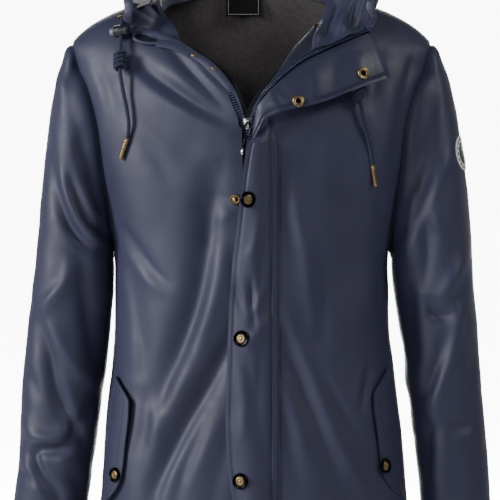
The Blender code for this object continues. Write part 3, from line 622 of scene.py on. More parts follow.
# Folds of the wearer's right front, seen on the viewer's left: depth and half widths in metres.
RIGHT_FRONT_FOLDS = [
    (-0.0085, 0.0055, 0.0075, [(-0.106, -0.078), (-0.084, -0.104), (-0.057, -0.134), (-0.015, -0.177)]),
    (0.0030, 0.006, 0.008, [(-0.100, -0.098), (-0.075, -0.123), (-0.050, -0.147), (-0.014, -0.182)]),
    (-0.0100, 0.0130, 0.0100, [(-0.166, -0.074), (-0.139, -0.108), (-0.112, -0.130), (-0.080, -0.151),
                               (-0.054, -0.166), (-0.020, -0.184)]),
    (0.0050, 0.008, 0.013, [(-0.158, -0.098), (-0.126, -0.128), (-0.088, -0.156), (-0.047, -0.180),
                            (-0.018, -0.196)]),
    (0.0035, 0.006, 0.006, [(-0.105, -0.113), (-0.082, -0.135), (-0.047, -0.162)]),
    (-0.0030, 0.005, 0.006, [(-0.066, -0.100), (-0.047, -0.118), (-0.026, -0.140)]),
    (0.0030, 0.006, 0.005, [(-0.066, -0.112), (-0.047, -0.131), (-0.030, -0.150)]),
    (-0.0026, 0.014, 0.016, [(-0.166, -0.146), (-0.130, -0.177), (-0.095, -0.203), (-0.060, -0.215)]),
    (-0.0030, 0.010, 0.012, [(-0.150, -0.190), (-0.120, -0.225), (-0.100, -0.260)]),
    (-0.0145, 0.0095, 0.0205, [(-0.046, -0.225), (-0.051, -0.278), (-0.057, -0.345), (-0.070, -0.412),
                               (-0.091, -0.467), (-0.113, -0.512), (-0.128, -0.550)]),
    (0.0050, 0.012, 0.014, [(-0.036, -0.330), (-0.045, -0.390), (-0.060, -0.440), (-0.078, -0.490)]),
    (-0.0020, 0.004, 0.004, [(-0.036, -0.215), (-0.037, -0.245), (-0.040, -0.290)]),
    (-0.0030, 0.007, 0.007, [(-0.052, -0.262), (-0.040, -0.275), (-0.024, -0.281)]),
    (0.0022, 0.006, 0.006, [(-0.044, -0.310), (-0.034, -0.298), (-0.020, -0.288)]),
    (-0.0140, 0.0085, 0.0165, [(-0.006, -0.420), (-0.026, -0.462), (-0.050, -0.508), (-0.078, -0.556),
                               (-0.104, -0.604), (-0.124, -0.650), (-0.136, -0.715)]),
    (0.0045, 0.012, 0.012, [(-0.047, -0.452), (-0.079, -0.502), (-0.105, -0.548), (-0.132, -0.596)]),
    (-0.0050, 0.007, 0.009, [(-0.036, -0.500), (-0.065, -0.573), (-0.088, -0.625), (-0.100, -0.680)]),
    (0.0035, 0.008, 0.008, [(-0.040, -0.540), (-0.062, -0.602), (-0.080, -0.655)]),
    (-0.0030, 0.008, 0.010, [(-0.020, -0.560), (-0.040, -0.625), (-0.055, -0.690)]),
    (-0.0045, 0.007, 0.009, [(-0.182, -0.305), (-0.158, -0.326), (-0.127, -0.368), (-0.098, -0.392)]),
    (0.0020, 0.007, 0.007, [(-0.160, -0.345), (-0.135, -0.380), (-0.112, -0.400)]),
    (-0.0035, 0.016, 0.006, [(-0.163, -0.340), (-0.150, -0.428), (-0.145, -0.480), (-0.152, -0.515)]),
    (-0.0035, 0.008, 0.008, [(-0.142, -0.515), (-0.140, -0.560), (-0.150, -0.615)]),
    (0.0030, 0.010, 0.010, [(-0.128, -0.540), (-0.124, -0.590), (-0.140, -0.650)]),
    (-0.0020, 0.008, 0.010, [(-0.205, -0.095), (-0.190, -0.130), (-0.178, -0.170)]),
    (0.0020, 0.008, 0.010, [(-0.215, -0.090), (-0.200, -0.130), (-0.190, -0.175)]),
]
# Folds of the wearer's left front.
LEFT_FRONT_FOLDS = [
    (0.0060, 0.011, 0.010, [(0.047, -0.250), (0.058, -0.300), (0.070, -0.345), (0.077, -0.400),
                            (0.083, -0.460)]),
    (-0.0055, 0.006, 0.010, [(0.082, -0.330), (0.088, -0.372), (0.090, -0.420), (0.094, -0.475)]),
    (-0.0040, 0.008, 0.008, [(0.040, -0.235), (0.045, -0.290), (0.055, -0.340)]),
    (0.0055, 0.008, 0.009, [(0.036, -0.395), (0.052, -0.440), (0.068, -0.478), (0.100, -0.560),
                            (0.125, -0.615), (0.150, -0.665)]),
    (-0.0060, 0.009, 0.007, [(0.034, -0.430), (0.048, -0.480), (0.062, -0.512), (0.092, -0.588),
                             (0.118, -0.655)]),
    (0.0035, 0.008, 0.009, [(0.036, -0.490), (0.056, -0.555), (0.078, -0.640)]),
    (-0.0030, 0.008, 0.008, [(0.036, -0.530), (0.050, -0.590), (0.062, -0.660)]),
    (0.0030, 0.009, 0.009, [(0.075, -0.455), (0.100, -0.500), (0.124, -0.545), (0.150, -0.590)]),
    (-0.0035, 0.009, 0.009, [(0.092, -0.505), (0.115, -0.548), (0.140, -0.600)]),
    (-0.0060, 0.0045, 0.005, [(0.154, -0.490), (0.148, -0.515), (0.140, -0.552)]),
    (0.0030, 0.006, 0.006, [(0.145, -0.490), (0.138, -0.520), (0.130, -0.548)]),
    (-0.0035, 0.018, 0.018, [(0.110, -0.215), (0.122, -0.275), (0.126, -0.330), (0.118, -0.420)]),
    (-0.0025, 0.009, 0.010, [(0.175, -0.250), (0.168, -0.280), (0.174, -0.310)]),
    (0.0050, 0.012, 0.015, [(0.192, -0.095), (0.184, -0.140), (0.172, -0.200), (0.150, -0.260)]),
    (-0.0040, 0.010, 0.011, [(0.165, -0.070), (0.160, -0.120), (0.150, -0.165)]),
    (0.0022, 0.006, 0.007, [(0.205, -0.085), (0.198, -0.112), (0.196, -0.135)]),
    (-0.0030, 0.007, 0.007, [(0.213, -0.085), (0.207, -0.115), (0.205, -0.140)]),
    (-0.0022, 0.012, 0.012, [(0.085, -0.180), (0.075, -0.230), (0.070, -0.270)]),
    (0.0025, 0.012, 0.012, [(0.150, -0.330), (0.155, -0.400), (0.162, -0.450)]),
]
# Gentle folds of the back, for both halves; the halves differ by a small shift.
BACK_FOLDS = [
    (-0.0045, 0.014, 0.014, [(0.165, -0.230), (0.150, -0.330), (0.142, -0.430), (0.148, -0.540)]),
    (0.0050, 0.016, 0.016, [(0.130, -0.250), (0.118, -0.360), (0.112, -0.480), (0.118, -0.620)]),
    (-0.0055, 0.015, 0.013, [(0.085, -0.300), (0.080, -0.420), (0.072, -0.540), (0.078, -0.680)]),
    (0.0045, 0.015, 0.015, [(0.045, -0.280), (0.042, -0.400), (0.036, -0.520), (0.040, -0.700)]),
    (-0.0040, 0.012, 0.014, [(0.012, -0.340), (0.008, -0.460), (0.012, -0.600)]),
    (-0.0040, 0.010, 0.012, [(0.190, -0.320), (0.160, -0.360), (0.120, -0.380)]),
    (0.0035, 0.010, 0.010, [(0.185, -0.300), (0.150, -0.330), (0.105, -0.345)]),
    (-0.0035, 0.012, 0.010, [(0.195, -0.180), (0.165, -0.210), (0.140, -0.260)]),
]


def mirrored(strokes, shift=0.0):
    return [(height, after, before, [(shift - x, z + 0.4 * shift) for x, z in route])
            for height, before, after, route in strokes]


def outer_edge(z):
    inside = (z > UNDERARM_Z) & (z < SHOULDER_Z)
    return np.where(inside, spline(ARMHOLE, z), spline(BODY_STATIONS, z)[..., 0])


def sway(grid):
    """The hem swings a little to the wearer's left."""
    moved = grid.copy()
    half = spline(BODY_STATIONS, grid[..., 2])[..., 0]
    moved[..., 0] += 0.0045 * step_up(-0.42, -0.70, grid[..., 2]) * (grid[..., 0] / half) ** 2
    return moved


def body_heights(low, high, step=STEP):
    return np.linspace(low, high, int(round((high - low) / step)) + 1)


def front_panel(name, side, strokes):
    """One front of the shell, from the hem to the shoulder, with its folds and seam lines."""
    heights = body_heights(HEM_Z, -0.006)
    table = LEFT_EDGE if side > 0 else RIGHT_EDGE
    open_edge = side * (spline(table, heights) + (0.0 if side > 0 else 0.0085))
    gap = np.interp(heights, [-0.728, -0.720], [0.0030, 0.0085])
    start = np.where(heights < -0.186, zip_x(heights) + side * gap, open_edge)
    end = side * outer_edge(heights)
    grid = section_grid(heights, start, end, 74)
    normals = grid_normals(grid, from_axis)
    height = folds(grid, strokes) + ripple(grid, 0.11, 0.0016, 11 if side > 0 else 12, (1, 1, 0.55))
    height += ripple(grid, 0.045, 0.00035, 13)
    edge_fade = step_up(0.0, 0.020, np.abs(grid[..., 0] - start[:, None]))
    side_gap = np.abs(np.abs(grid[..., 0]) - outer_edge(grid[..., 2])) + 0.9 * np.abs(grid[..., 1])
    shoulder_gap = np.abs(np.abs(grid[..., 0]) - outer_edge(grid[..., 2]))
    side_gap = np.where(grid[..., 2] < UNDERARM_Z, side_gap, shoulder_gap)
    side_fade = step_up(0.0, 0.022, side_gap)
    height = height * (0.35 + 0.65 * edge_fade) * (0.15 + 0.85 * side_fade)
    height += seam_dip(side_gap, 0.0012, 0.0025)
    height += seam_dip(grid[..., 2] - HEM_Z - 0.022, 0.0012, 0.0020)
    grid = sway(grid + normals * height[..., None])
    return cloth(name, grid, NAVY, from_axis, 0.0018, inside=CHARCOAL)


def back_panel():
    heights = body_heights(HEM_Z, 0.022)
    edge = outer_edge(heights)
    neck = heights > -0.0214
    edge[neck] = spline(BACK_NECK, heights[neck])
    grid = section_grid(heights, edge, -edge, 132, front=False)
    normals = grid_normals(grid, from_axis)
    strokes = BACK_FOLDS + mirrored(BACK_FOLDS, 0.006)
    height = folds(grid, strokes) + ripple(grid, 0.12, 0.0016, 21, (1, 1, 0.5))
    gap = np.abs(np.abs(grid[..., 0]) - edge[:, None])
    gap = gap + np.where(grid[..., 2] < UNDERARM_Z, 0.9, 0.0) * grid[..., 1]
    height = height * (0.15 + 0.85 * step_up(0.0, 0.022, gap))
    height += seam_dip(gap, 0.0012, 0.0025)
    height += seam_dip(grid[..., 2] - HEM_Z - 0.022, 0.0012, 0.0020)
    yoke = -0.185 + 0.25 * grid[..., 0] ** 2
    height += 0.0018 * step_up(-0.0006, 0.0010, grid[..., 2] - yoke)
    grid = sway(grid + normals * height[..., None])
    return cloth("back_shell", grid, NAVY, from_axis, 0.0018, inside=CHARCOAL)


# ---------------------------------------------------------------------------------------------
# Hood cords with their eyelets, locks, knots and metal ends
# ---------------------------------------------------------------------------------------------
CORD_RADIUS = 0.0026
CORDS = {
    "right": ([(-0.1695, -0.0690, -0.0390), (-0.1698, -0.0743, -0.0510), (-0.1702, -0.0806, -0.0650),
               (-0.1706, -0.0875, -0.0805), (-0.1710, -0.0948, -0.0970), (-0.1703, -0.1003, -0.1120),
               (-0.1668, -0.1020, -0.1340), (-0.1614, -0.1032, -0.1600), (-0.1588, -0.1047, -0.1800),
               (-0.1605, -0.1022, -0.1965)], (-0.1702, -0.0960, -0.2240), 0.165, 0.445, 0.176),
    "left": ([(0.0850, -0.0890, -0.0530), (0.0950, -0.0955, -0.0680), (0.1060, -0.1025, -0.0845),
              (0.1170, -0.1095, -0.1010), (0.1280, -0.1148, -0.1200), (0.1375, -0.1165, -0.1400),
              (0.1415, -0.1165, -0.1590), (0.1445, -0.1140, -0.1760), (0.1495, -0.1095, -0.1940),
              (0.1540, -0.1049, -0.2130), (0.1570, -0.1018, -0.2310)], (0.1612, -0.0975, -0.2595),
             0.210, 0.500, 0.209)}


def knot_path(place, down, turns, pitch, radius, tilt):
    """Centreline of a cord wound round the axis, its turns tilted, with both ends tucked in."""
    down = unit(down)
    side = unit(np.cross(down, [0.0, -1.0, 0.2]))
    front = np.cross(down, side)
    turn = np.linspace(0, 1, int(turns * 22) + 1)
    angle = 2 * math.pi * turns * turn
    tuck = 1 - 0.55 * (step_up(0.10, 0.0, turn) + step_up(0.90, 1.0, turn))
    reach = radius * tuck * (1 + 0.10 * np.sin(math.pi * turn))
    height = (turn - 0.5) * turns * pitch + tilt * np.sin(angle + 0.6)
    return (place + down * height[:, None] + side * (reach * np.cos(angle))[:, None]
            + front * (reach * np.sin(angle))[:, None])


def make_cord(side, route, end, lock_at, knot_at, length):
    sign = -1.0 if side == "right" else 1.0
    path = even_path(route, 0.0016)
    way = unit(np.gradient(path, axis=0))
    end = np.array(end)
    tail = unit(end - path[-1])
    cord = new_object(side + "_cord_braid",
                      *tube_mesh(path, CORD_RADIUS + 0.0001, 20, 0.00030, 0.0095), CORD)
    done(cord, "torso", side + "_cord", slot="navy_cord")

    middle = smooth_path(route, 60)
    knot_index = int(knot_at * 60)
    knot_place, knot_way = middle[knot_index], middle[knot_index + 1] - middle[knot_index - 1]
    if side == "right":
        winding = knot_path(knot_place, knot_way, 4.3, 0.0059, 0.0058, 0.0006)
    else:
        winding = knot_path(knot_place, knot_way, 3.2, 0.0056, 0.0064, 0.0022)
    knot = new_object(side + "_knot_winding", *tube_mesh(winding, 0.0028, 18, 0.00028, 0.0095), CORD)
    done(knot, "torso", side + "_cord_knot", slot="navy_cord")

    place = middle[int(lock_at * 60)]
    down = unit(middle[int(lock_at * 60) + 1] - middle[int(lock_at * 60) - 1])
    axis = unit(np.cross(down, body_normal(place[0], place[2])))
    if axis[0] * sign < 0:
        axis = -axis
    barrel = [(0, 0.0042), (0.0053, 0.0042), (0.0053, 0.0098), (0.0066, 0.0101), (0.0076, 0.0094),
              (0.0081, 0.0080), (0.0077, 0.0070), (0.0081, 0.0058), (0.0081, -0.0040), (0.0077, -0.0052),
              (0.0081, -0.0064), (0.0079, -0.0086), (0.0068, -0.0099), (0.0050, -0.0102), (0, -0.0102)]
    lock = new_object(side + "_lock_barrel", *turned_mesh(barrel, place, axis, 40), LOCK)
    done(lock, side + "_lock", side + "_cord_lock", slot="lock_plastic")
    cap = [(0, 0.0150), (0.0024, 0.0151), (0.0031, 0.0155), (0.0042, 0.0153), (0.0048, 0.0144),
           (0.0049, 0.0088), (0, 0.0088)]
    button = new_object(side + "_button_cap", *turned_mesh(cap, place, axis, 36), BUTTON)
    done(button, side + "_button", side + "_lock_button", slot="button_plastic")

    run = float(np.linalg.norm(end - path[-1]))
    start = path[-1] + tail * 0.0004
    crimped = [(0, 0.0), (0.0027, 0.0), (0.0033, -0.0006), (0.0033, -0.0020), (0.0029, -0.0028),
               (0.0032, -0.0036), (0.0032, -0.0052), (0.0029, -0.0060), (0.0031, -0.0075),
               (0.0028, -run + 0.0030), (0.0025, -run + 0.0012), (0.0017, -run + 0.0002), (0, -run)]
    aglet = new_object(side + "_aglet_tube", *turned_mesh(crimped, start, -tail, 32), BRASS)
    done(aglet, "torso", side + "_aglet", slot="antique_brass")

    ring = [(0.0030, 0.0004), (0.0034, 0.0013), (0.0044, 0.0016), (0.0056, 0.0012), (0.0064, 0.0002),
            (0.0060, -0.0006), (0.0036, -0.0008), (0.0030, -0.0004)]
    eyelet = new_object(side + "_eyelet_ring", *ring_mesh(ring, path[0] - way[0] * 0.0022, way[0], 40), BRASS)
    done(eyelet, "torso", side + "_eyelet", slot="antique_brass")


for cord_side, values in CORDS.items():
    make_cord(cord_side, *values)


PANELS = {}
PANELS["right_front"] = front_panel("right_front_shell", -1, RIGHT_FRONT_FOLDS)
PANELS["left_front"] = front_panel("left_front_shell", 1, LEFT_FRONT_FOLDS)
PANELS["back"] = back_panel()
done(PANELS["right_front"], "torso", "right_front_panel", slot="coated_navy")
done(PANELS["left_front"], "torso", "left_front_panel", slot="coated_navy")
done(PANELS["back"], "torso", "back_panel", slot="coated_navy")


# ---------------------------------------------------------------------------------------------
# Sleeves
# ---------------------------------------------------------------------------------------------
# Outer (x, z), inner (x, z) and half depth of each ring below the armhole.
RIGHT_RINGS = [
    ((0.2539, -0.0925), (0.1850, -0.3520), 0.064), ((0.2665, -0.1480), (0.1850, -0.3590), 0.070),
    ((0.2760, -0.2200), (0.1848, -0.3680), 0.072), ((0.2845, -0.3080), (0.1850, -0.3800), 0.070),
    ((0.2920, -0.3850), (0.1858, -0.4030), 0.067), ((0.2965, -0.4280), (0.1880, -0.4290), 0.064),
    ((0.3028, -0.5000), (0.1960, -0.5000), 0.062), ((0.3050, -0.5260), (0.2010, -0.5260), 0.061),
    ((0.3085, -0.5700), (0.2032, -0.5700), 0.060), ((0.3138, -0.6370), (0.2118, -0.6370), 0.058),
    ((0.3177, -0.6770), (0.2172, -0.6770), 0.056), ((0.3215, CUFF_Z), (0.2225, CUFF_Z), 0.055)]
LEFT_RINGS = [
    ((0.2568, -0.0915), (0.1862, -0.3520), 0.064), ((0.2725, -0.1440), (0.1864, -0.3590), 0.070),
    ((0.2830, -0.2150), (0.1868, -0.3680), 0.072), ((0.2915, -0.3050), (0.1880, -0.3800), 0.070),
    ((0.2975, -0.3870), (0.1902, -0.4020), 0.067), ((0.3010, -0.4280), (0.1930, -0.4290), 0.064),
    ((0.3068, -0.5000), (0.2040, -0.5000), 0.062), ((0.3130, -0.5700), (0.2140, -0.5700), 0.060),
    ((0.3175, -0.6370), (0.2222, -0.6370), 0.058), ((0.3200, -0.6770), (0.2252, -0.6770), 0.056),
    ((0.3225, CUFF_Z), (0.2280, CUFF_Z), 0.055)]

RIGHT_SLEEVE_FOLDS = [
    (-0.0085, 0.0075, 0.0085, [(-0.268, -0.195), (-0.2575, -0.262), (-0.242, -0.304), (-0.216, -0.334),
                               (-0.192, -0.336)]),
    (0.0055, 0.0080, 0.0070, [(-0.252, -0.232), (-0.240, -0.275), (-0.222, -0.308), (-0.202, -0.328),
                              (-0.188, -0.328)]),
    (-0.0060, 0.0060, 0.0065, [(-0.241, -0.234), (-0.228, -0.272), (-0.213, -0.303), (-0.188, -0.322)]),
    (0.0045, 0.007, 0.007, [(-0.222, -0.262), (-0.207, -0.290), (-0.188, -0.310)]),
    (0.0045, 0.008, 0.006, [(-0.240, -0.205), (-0.228, -0.188), (-0.212, -0.187), (-0.192, -0.196)]),
    (-0.0065, 0.009, 0.011, [(-0.232, -0.212), (-0.222, -0.202), (-0.206, -0.203), (-0.190, -0.212)]),
    (-0.0040, 0.006, 0.007, [(-0.212, -0.210), (-0.208, -0.232), (-0.205, -0.262)]),
    (0.0035, 0.008, 0.010, [(-0.262, -0.100), (-0.244, -0.128), (-0.222, -0.148), (-0.205, -0.178)]),
    (0.0080, 0.011, 0.007, [(-0.236, -0.350), (-0.243, -0.380), (-0.260, -0.402), (-0.281, -0.428)]),
    (-0.0100, 0.0070, 0.0110, [(-0.2835, -0.424), (-0.268, -0.468), (-0.255, -0.525), (-0.230, -0.580),
                               (-0.216, -0.600)]),
    (0.0055, 0.010, 0.009, [(-0.270, -0.432), (-0.246, -0.474), (-0.226, -0.500), (-0.200, -0.528)]),
    (-0.0090, 0.015, 0.013, [(-0.226, -0.335), (-0.217, -0.400), (-0.207, -0.465), (-0.197, -0.515)]),
    (-0.0045, 0.007, 0.007, [(-0.205, -0.530), (-0.216, -0.556), (-0.232, -0.588)]),
    (0.0085, 0.0110, 0.0080, [(-0.3005, -0.560), (-0.286, -0.586), (-0.262, -0.592), (-0.243, -0.580),
                              (-0.244, -0.552)]),
    (-0.0100, 0.0065, 0.0080, [(-0.228, -0.575), (-0.246, -0.600), (-0.270, -0.604), (-0.2860, -0.610),
                               (-0.276, -0.636), (-0.256, -0.662), (-0.250, -0.690)]),
    (0.0050, 0.008, 0.008, [(-0.226, -0.606), (-0.246, -0.618), (-0.262, -0.622)]),
    (0.0045, 0.009, 0.009, [(-0.296, -0.615), (-0.290, -0.640), (-0.270, -0.672)]),
    (-0.0040, 0.006, 0.006, [(-0.310, -0.628), (-0.294, -0.641), (-0.282, -0.655)]),
    (-0.0030, 0.006, 0.008, [(-0.302, -0.500), (-0.290, -0.512), (-0.280, -0.540)]),
    (-0.0030, 0.008, 0.008, [(-0.240, -0.630), (-0.225, -0.660), (-0.222, -0.690)]),
]
LEFT_SLEEVE_FOLDS = [
    (-0.0080, 0.0085, 0.0085, [(0.250, -0.232), (0.236, -0.262), (0.222, -0.290), (0.198, -0.325)]),
    (0.0055, 0.007, 0.009, [(0.264, -0.205), (0.250, -0.240), (0.236, -0.272), (0.223, -0.297)]),
    (-0.0095, 0.0070, 0.0100, [(0.221, -0.290), (0.229, -0.306), (0.231, -0.345), (0.226, -0.400)]),
    (0.0050, 0.009, 0.006, [(0.214, -0.300), (0.226, -0.300), (0.237, -0.303), (0.240, -0.318)]),
    (0.0065, 0.009, 0.010, [(0.284, -0.340), (0.268, -0.372), (0.252, -0.400), (0.245, -0.412)]),
    (-0.0090, 0.0060, 0.0070, [(0.232, -0.400), (0.238, -0.422), (0.250, -0.429), (0.266, -0.421)]),
    (0.0070, 0.008, 0.0075, [(0.262, -0.412), (0.2705, -0.424), (0.268, -0.445), (0.256, -0.488),
                             (0.245, -0.535), (0.238, -0.580)]),
    (-0.0085, 0.0080, 0.0090, [(0.264, -0.440), (0.250, -0.480), (0.234, -0.516), (0.222, -0.545)]),
    (-0.0080, 0.014, 0.012, [(0.214, -0.350), (0.206, -0.410), (0.208, -0.460), (0.216, -0.500)]),
    (-0.0045, 0.007, 0.008, [(0.236, -0.560), (0.233, -0.600), (0.228, -0.650)]),
    (0.0035, 0.010, 0.010, [(0.258, -0.560), (0.250, -0.620), (0.246, -0.680)]),
    (-0.0030, 0.010, 0.010, [(0.300, -0.560), (0.280, -0.572), (0.256, -0.574)]),
    (0.0030, 0.010, 0.010, [(0.300, -0.585), (0.280, -0.590), (0.258, -0.600)]),
    (-0.0030, 0.010, 0.010, [(0.226, -0.120), (0.232, -0.155), (0.228, -0.200)]),
    (-0.0030, 0.009, 0.009, [(0.285, -0.440), (0.292, -0.490), (0.286, -0.540)]),
    (0.0020, 0.009, 0.009, [(0.262, -0.180), (0.266, -0.230), (0.272, -0.290)]),
]


def armhole_ring(side, columns):
    """The armhole seam in space: front half along the front, back half along the back."""
    turn = np.arange(columns) * 2 * math.pi / columns
    middle, half = (SHOULDER_Z + UNDERARM_Z) / 2, (SHOULDER_Z - UNDERARM_Z) / 2
    z = middle + half * np.sign(np.cos(turn)) * np.abs(np.cos(turn)) ** 0.87
    x = spline(ARMHOLE, z)
    front = body_point(x, z)
    back = body_point(x, z, front=False)
    ring = np.where((np.sin(turn) < 0)[:, None], front, back)
    ring[..., 1] *= np.minimum(1.0, np.abs(np.sin(turn)) * 6.0)
    ring[..., 0] *= side
    return ring


def sleeve_surface(side, rings, columns=112):
    turn = np.arange(columns) * 2 * math.pi / columns
    along = np.sign(np.cos(turn)) * np.abs(np.cos(turn)) ** 0.87
    across = np.sign(np.sin(turn)) * np.abs(np.sin(turn)) ** 0.87
    seam = armhole_ring(side, columns)
    tucked = seam - np.array([side * 0.0060, 0.0, 0.0])
    tucked[:, 1] *= 0.93
    loops = [tucked, seam]
    for outer, inner, depth in rings:
        a = np.array([side * outer[0], 0.0, outer[1]])
        b = np.array([side * inner[0], 0.0, inner[1]])
        loop = (a + b) / 2 + along[:, None] * (a - b) / 2
        loop[:, 1] += depth * across
        loops.append(loop)
    loops = np.array(loops)
    centres = loops.mean(axis=1)
    marks = np.concatenate([[0], np.cumsum(np.linalg.norm(np.diff(centres, axis=0), axis=1))])
    marks = marks - marks[1]
    fine = np.linspace(marks[0], marks[-1], int((marks[-1] - marks[0]) / 0.0030) + 1)
    table = [(mark, *loop.ravel()) for mark, loop in zip(marks, loops)]
    return spline(table, fine).reshape(len(fine), columns, 3), fine


def sleeve(name, side, rings, strokes):
    """The whole sleeve in two pieces that meet above the elbow without a seam."""
    grid, marks = sleeve_surface(side, rings)

    def outward(points):
        return points - points.mean(axis=1, keepdims=True)

    normals = grid_normals(grid, outward, closed=True)
    front = np.clip(0.35 - 1.6 * normals[..., 1], 0, 1)
    back = np.clip(0.35 + 1.6 * normals[..., 1], 0, 1)
    height = folds(grid, strokes) * front
    height += folds(grid, mirrored(LEFT_SLEEVE_FOLDS if side < 0 else RIGHT_SLEEVE_FOLDS)) * back * 0.8
    height += ripple(grid, 0.10, 0.0016, 31 if side > 0 else 32, (1, 1, 0.7))
    height += ripple(grid, 0.04, 0.0003, 33)
    fade = step_up(0.0, 0.030, marks)[:, None] * step_up(0.0, 0.025, marks[-1] - marks)[:, None]
    height = height * (0.10 + 0.90 * fade)
    height += seam_dip(marks, 0.0016, 0.0030)[:, None]
    height += 0.0014 * np.exp(-((marks - 0.010) / 0.007) ** 2)[:, None]
    height += seam_dip(marks[-1] - marks - 0.024, 0.0012, 0.0020)[:, None]
    grid = grid + normals * height[..., None]
    normals = grid_normals(grid, outward, closed=True)
    split = int(np.argmin(np.abs(grid[:, :, 2].max(axis=1) + 0.402)))
    pieces = []
    for part, rows in (("_sleeve_head", slice(0, split + 1)), ("_sleeve", slice(split, None))):
        piece = cloth(name + part, grid[rows], NAVY, outward, 0.0018, True, CHARCOAL, normals[rows])
        flat = normals[rows].reshape(-1, 3)
        count = len(flat)
        custom = np.vstack([flat, -flat])
        if len(piece.data.vertices) == 2 * count:
            piece.data.normals_split_custom_set_from_vertices([tuple(n) for n in custom])
        pieces.append(piece)
    return pieces, grid, normals


SLEEVES = {}
for name, side, rings, strokes in (("right", -1, RIGHT_RINGS, RIGHT_SLEEVE_FOLDS),
                                   ("left", 1, LEFT_RINGS, LEFT_SLEEVE_FOLDS)):
    pieces, grid, normals = sleeve(name, side, rings, strokes)
    SLEEVES[name] = (grid, normals)
    head, arm = pieces
    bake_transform(head)
    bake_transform(arm)
    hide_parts(name + "_upper_sleeve")
    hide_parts(name + "_lower_sleeve")


# ---------------------------------------------------------------------------------------------
# Stitching
# ---------------------------------------------------------------------------------------------
def stitches(name, rows, pitch=0.0034, length=0.0023, radius=0.00042):
    """Rows of thread stitches; each row is a path and the surface's normals along it."""
    parts = []
    for path, normals in rows:
        path, normals = np.asarray(path), np.asarray(normals)
        run = np.concatenate([[0], np.cumsum(np.linalg.norm(np.diff(path, axis=0), axis=1))])
        marks = np.arange(pitch, run[-1] - pitch, pitch)
        if not len(marks):
            continue

        def at(values, where):
            return np.stack([np.interp(where, run, values[:, k]) for k in range(3)], axis=1)

        middle, lift = at(path, marks), unit(at(normals, marks))
        way = unit(at(path, marks + 0.3 * pitch) - at(path, marks - 0.3 * pitch))
        side = unit(np.cross(way, lift))
        for centre, up, along, across in zip(middle, lift, way, side):
            ends = []
            for reach, lower in ((-0.5, 0.0004), (-0.25, -0.0001), (0.25, -0.0001), (0.5, 0.0004)):
                spot = centre + along * reach * length - up * lower
                ends.append([spot + across * radius, spot + up * radius, spot - across * radius,
                             spot - up * radius])
            loop = np.array(ends).reshape(-1, 3)
            faces = [(r * 4 + c, r * 4 + (c + 1) % 4, r * 4 + 4 + (c + 1) % 4, r * 4 + 4 + c)
                     for r in range(3) for c in range(4)]
            faces += [(3, 2, 1, 0), (12, 13, 14, 15)]
            parts.append((loop, faces))
    vertices, faces = join_meshes(parts)
    return new_object(name, vertices, faces, THREAD)


# ---------------------------------------------------------------------------------------------
# Linings, facings and pocket bags
# ---------------------------------------------------------------------------------------------
def lining(name, side, proud):
    heights = body_heights(HEM_Z + 0.030, -0.088, 0.008)
    edge = np.abs(np.where(heights < -0.186, 0.045, spline(RIGHT_EDGE, heights) + 0.024))
    end = np.maximum(outer_edge(heights) - 0.020, edge + 0.02)
    if side:
        grid = section_grid(heights, side * edge, side * end, 30, proud)
    else:
        heights = body_heights(HEM_Z + 0.030, 0.013, 0.006)
        end = np.maximum(outer_edge(heights) - 0.022, 0.030)
        grid = section_grid(heights, end, -end, 70, proud, False)
    normals = grid_normals(grid, from_axis)
    height = ripple(grid, 0.10, 0.0016, 41 + side, (1, 1, 0.6)) + ripple(grid, 0.03, 0.0003, 44)
    return cloth(name, grid + normals * height[..., None], CHARCOAL, from_axis, 0.0012)


for name, node, side, proud in (("back_lining_cloth", "back_lining", 0, -0.019),
                                ("right_lining_cloth", "right_front_lining", -1, -0.031),
                                ("left_lining_cloth", "left_front_lining", 1, -0.031)):
    made = done(lining(name, side, proud), "torso", node, slot="charcoal_lining")


def strip_grid(route, width, lift=0.0, columns=5, bow=0.0):
    """Flat strip on the front; the route's points are (x, z, proud)."""
    route = np.asarray(route, float)
    flat = route[:, :2]
    way = unit(np.gradient(flat, axis=0))
    side = np.stack([-way[:, 1], way[:, 0]], axis=1)
    columns = np.linspace(-0.5, 0.5, columns)
    x = flat[:, 0, None] + side[:, 0, None] * width * columns
    z = flat[:, 1, None] + side[:, 1, None] * width * columns
    grid = body_point(x, z)
    out = body_normal(x, z)
    rise = route[:, 2, None] + lift + bow * (1 - (2 * columns) ** 2)
    return grid + out * rise[..., None]


heights = body_heights(HEM_Z + 0.004, -0.190, 0.006)
inner = zip_x(heights) - 0.0125
facing_grid = section_grid(heights, inner, inner - 0.034, 8, -0.0150)
right_facing = cloth("right_facing_cloth", facing_grid, NAVY_INSIDE, from_axis, 0.0014)
done(right_facing, "torso", "right_front_facing", slot="coated_navy")

for side, name in ((-1, "right"), (1, "left")):
    marks = [(-0.520, -0.0205), (-0.600, -0.0210), (-0.690, -0.0210), (-0.700, -0.0225), (-0.703, -0.0240),
             (-0.700, -0.0255), (-0.690, -0.0265), (-0.600, -0.0265), (-0.520, -0.0260)]
    rows = []
    for z, proud in smooth_path(marks, 48):
        end = spline(BODY_STATIONS, z)[0] - 0.030
        rows.append(section_grid(np.array([z]), np.array([side * 0.080]), np.array([side * end]), 12, proud)[0])
    grid = np.array(rows)
    bag = cloth(name + "_pocket_bag_cloth", grid, CHARCOAL, toward(0, -1, 0), 0.0006)
    done(bag, "torso", name + "_pocket_bag", slot="charcoal_lining")


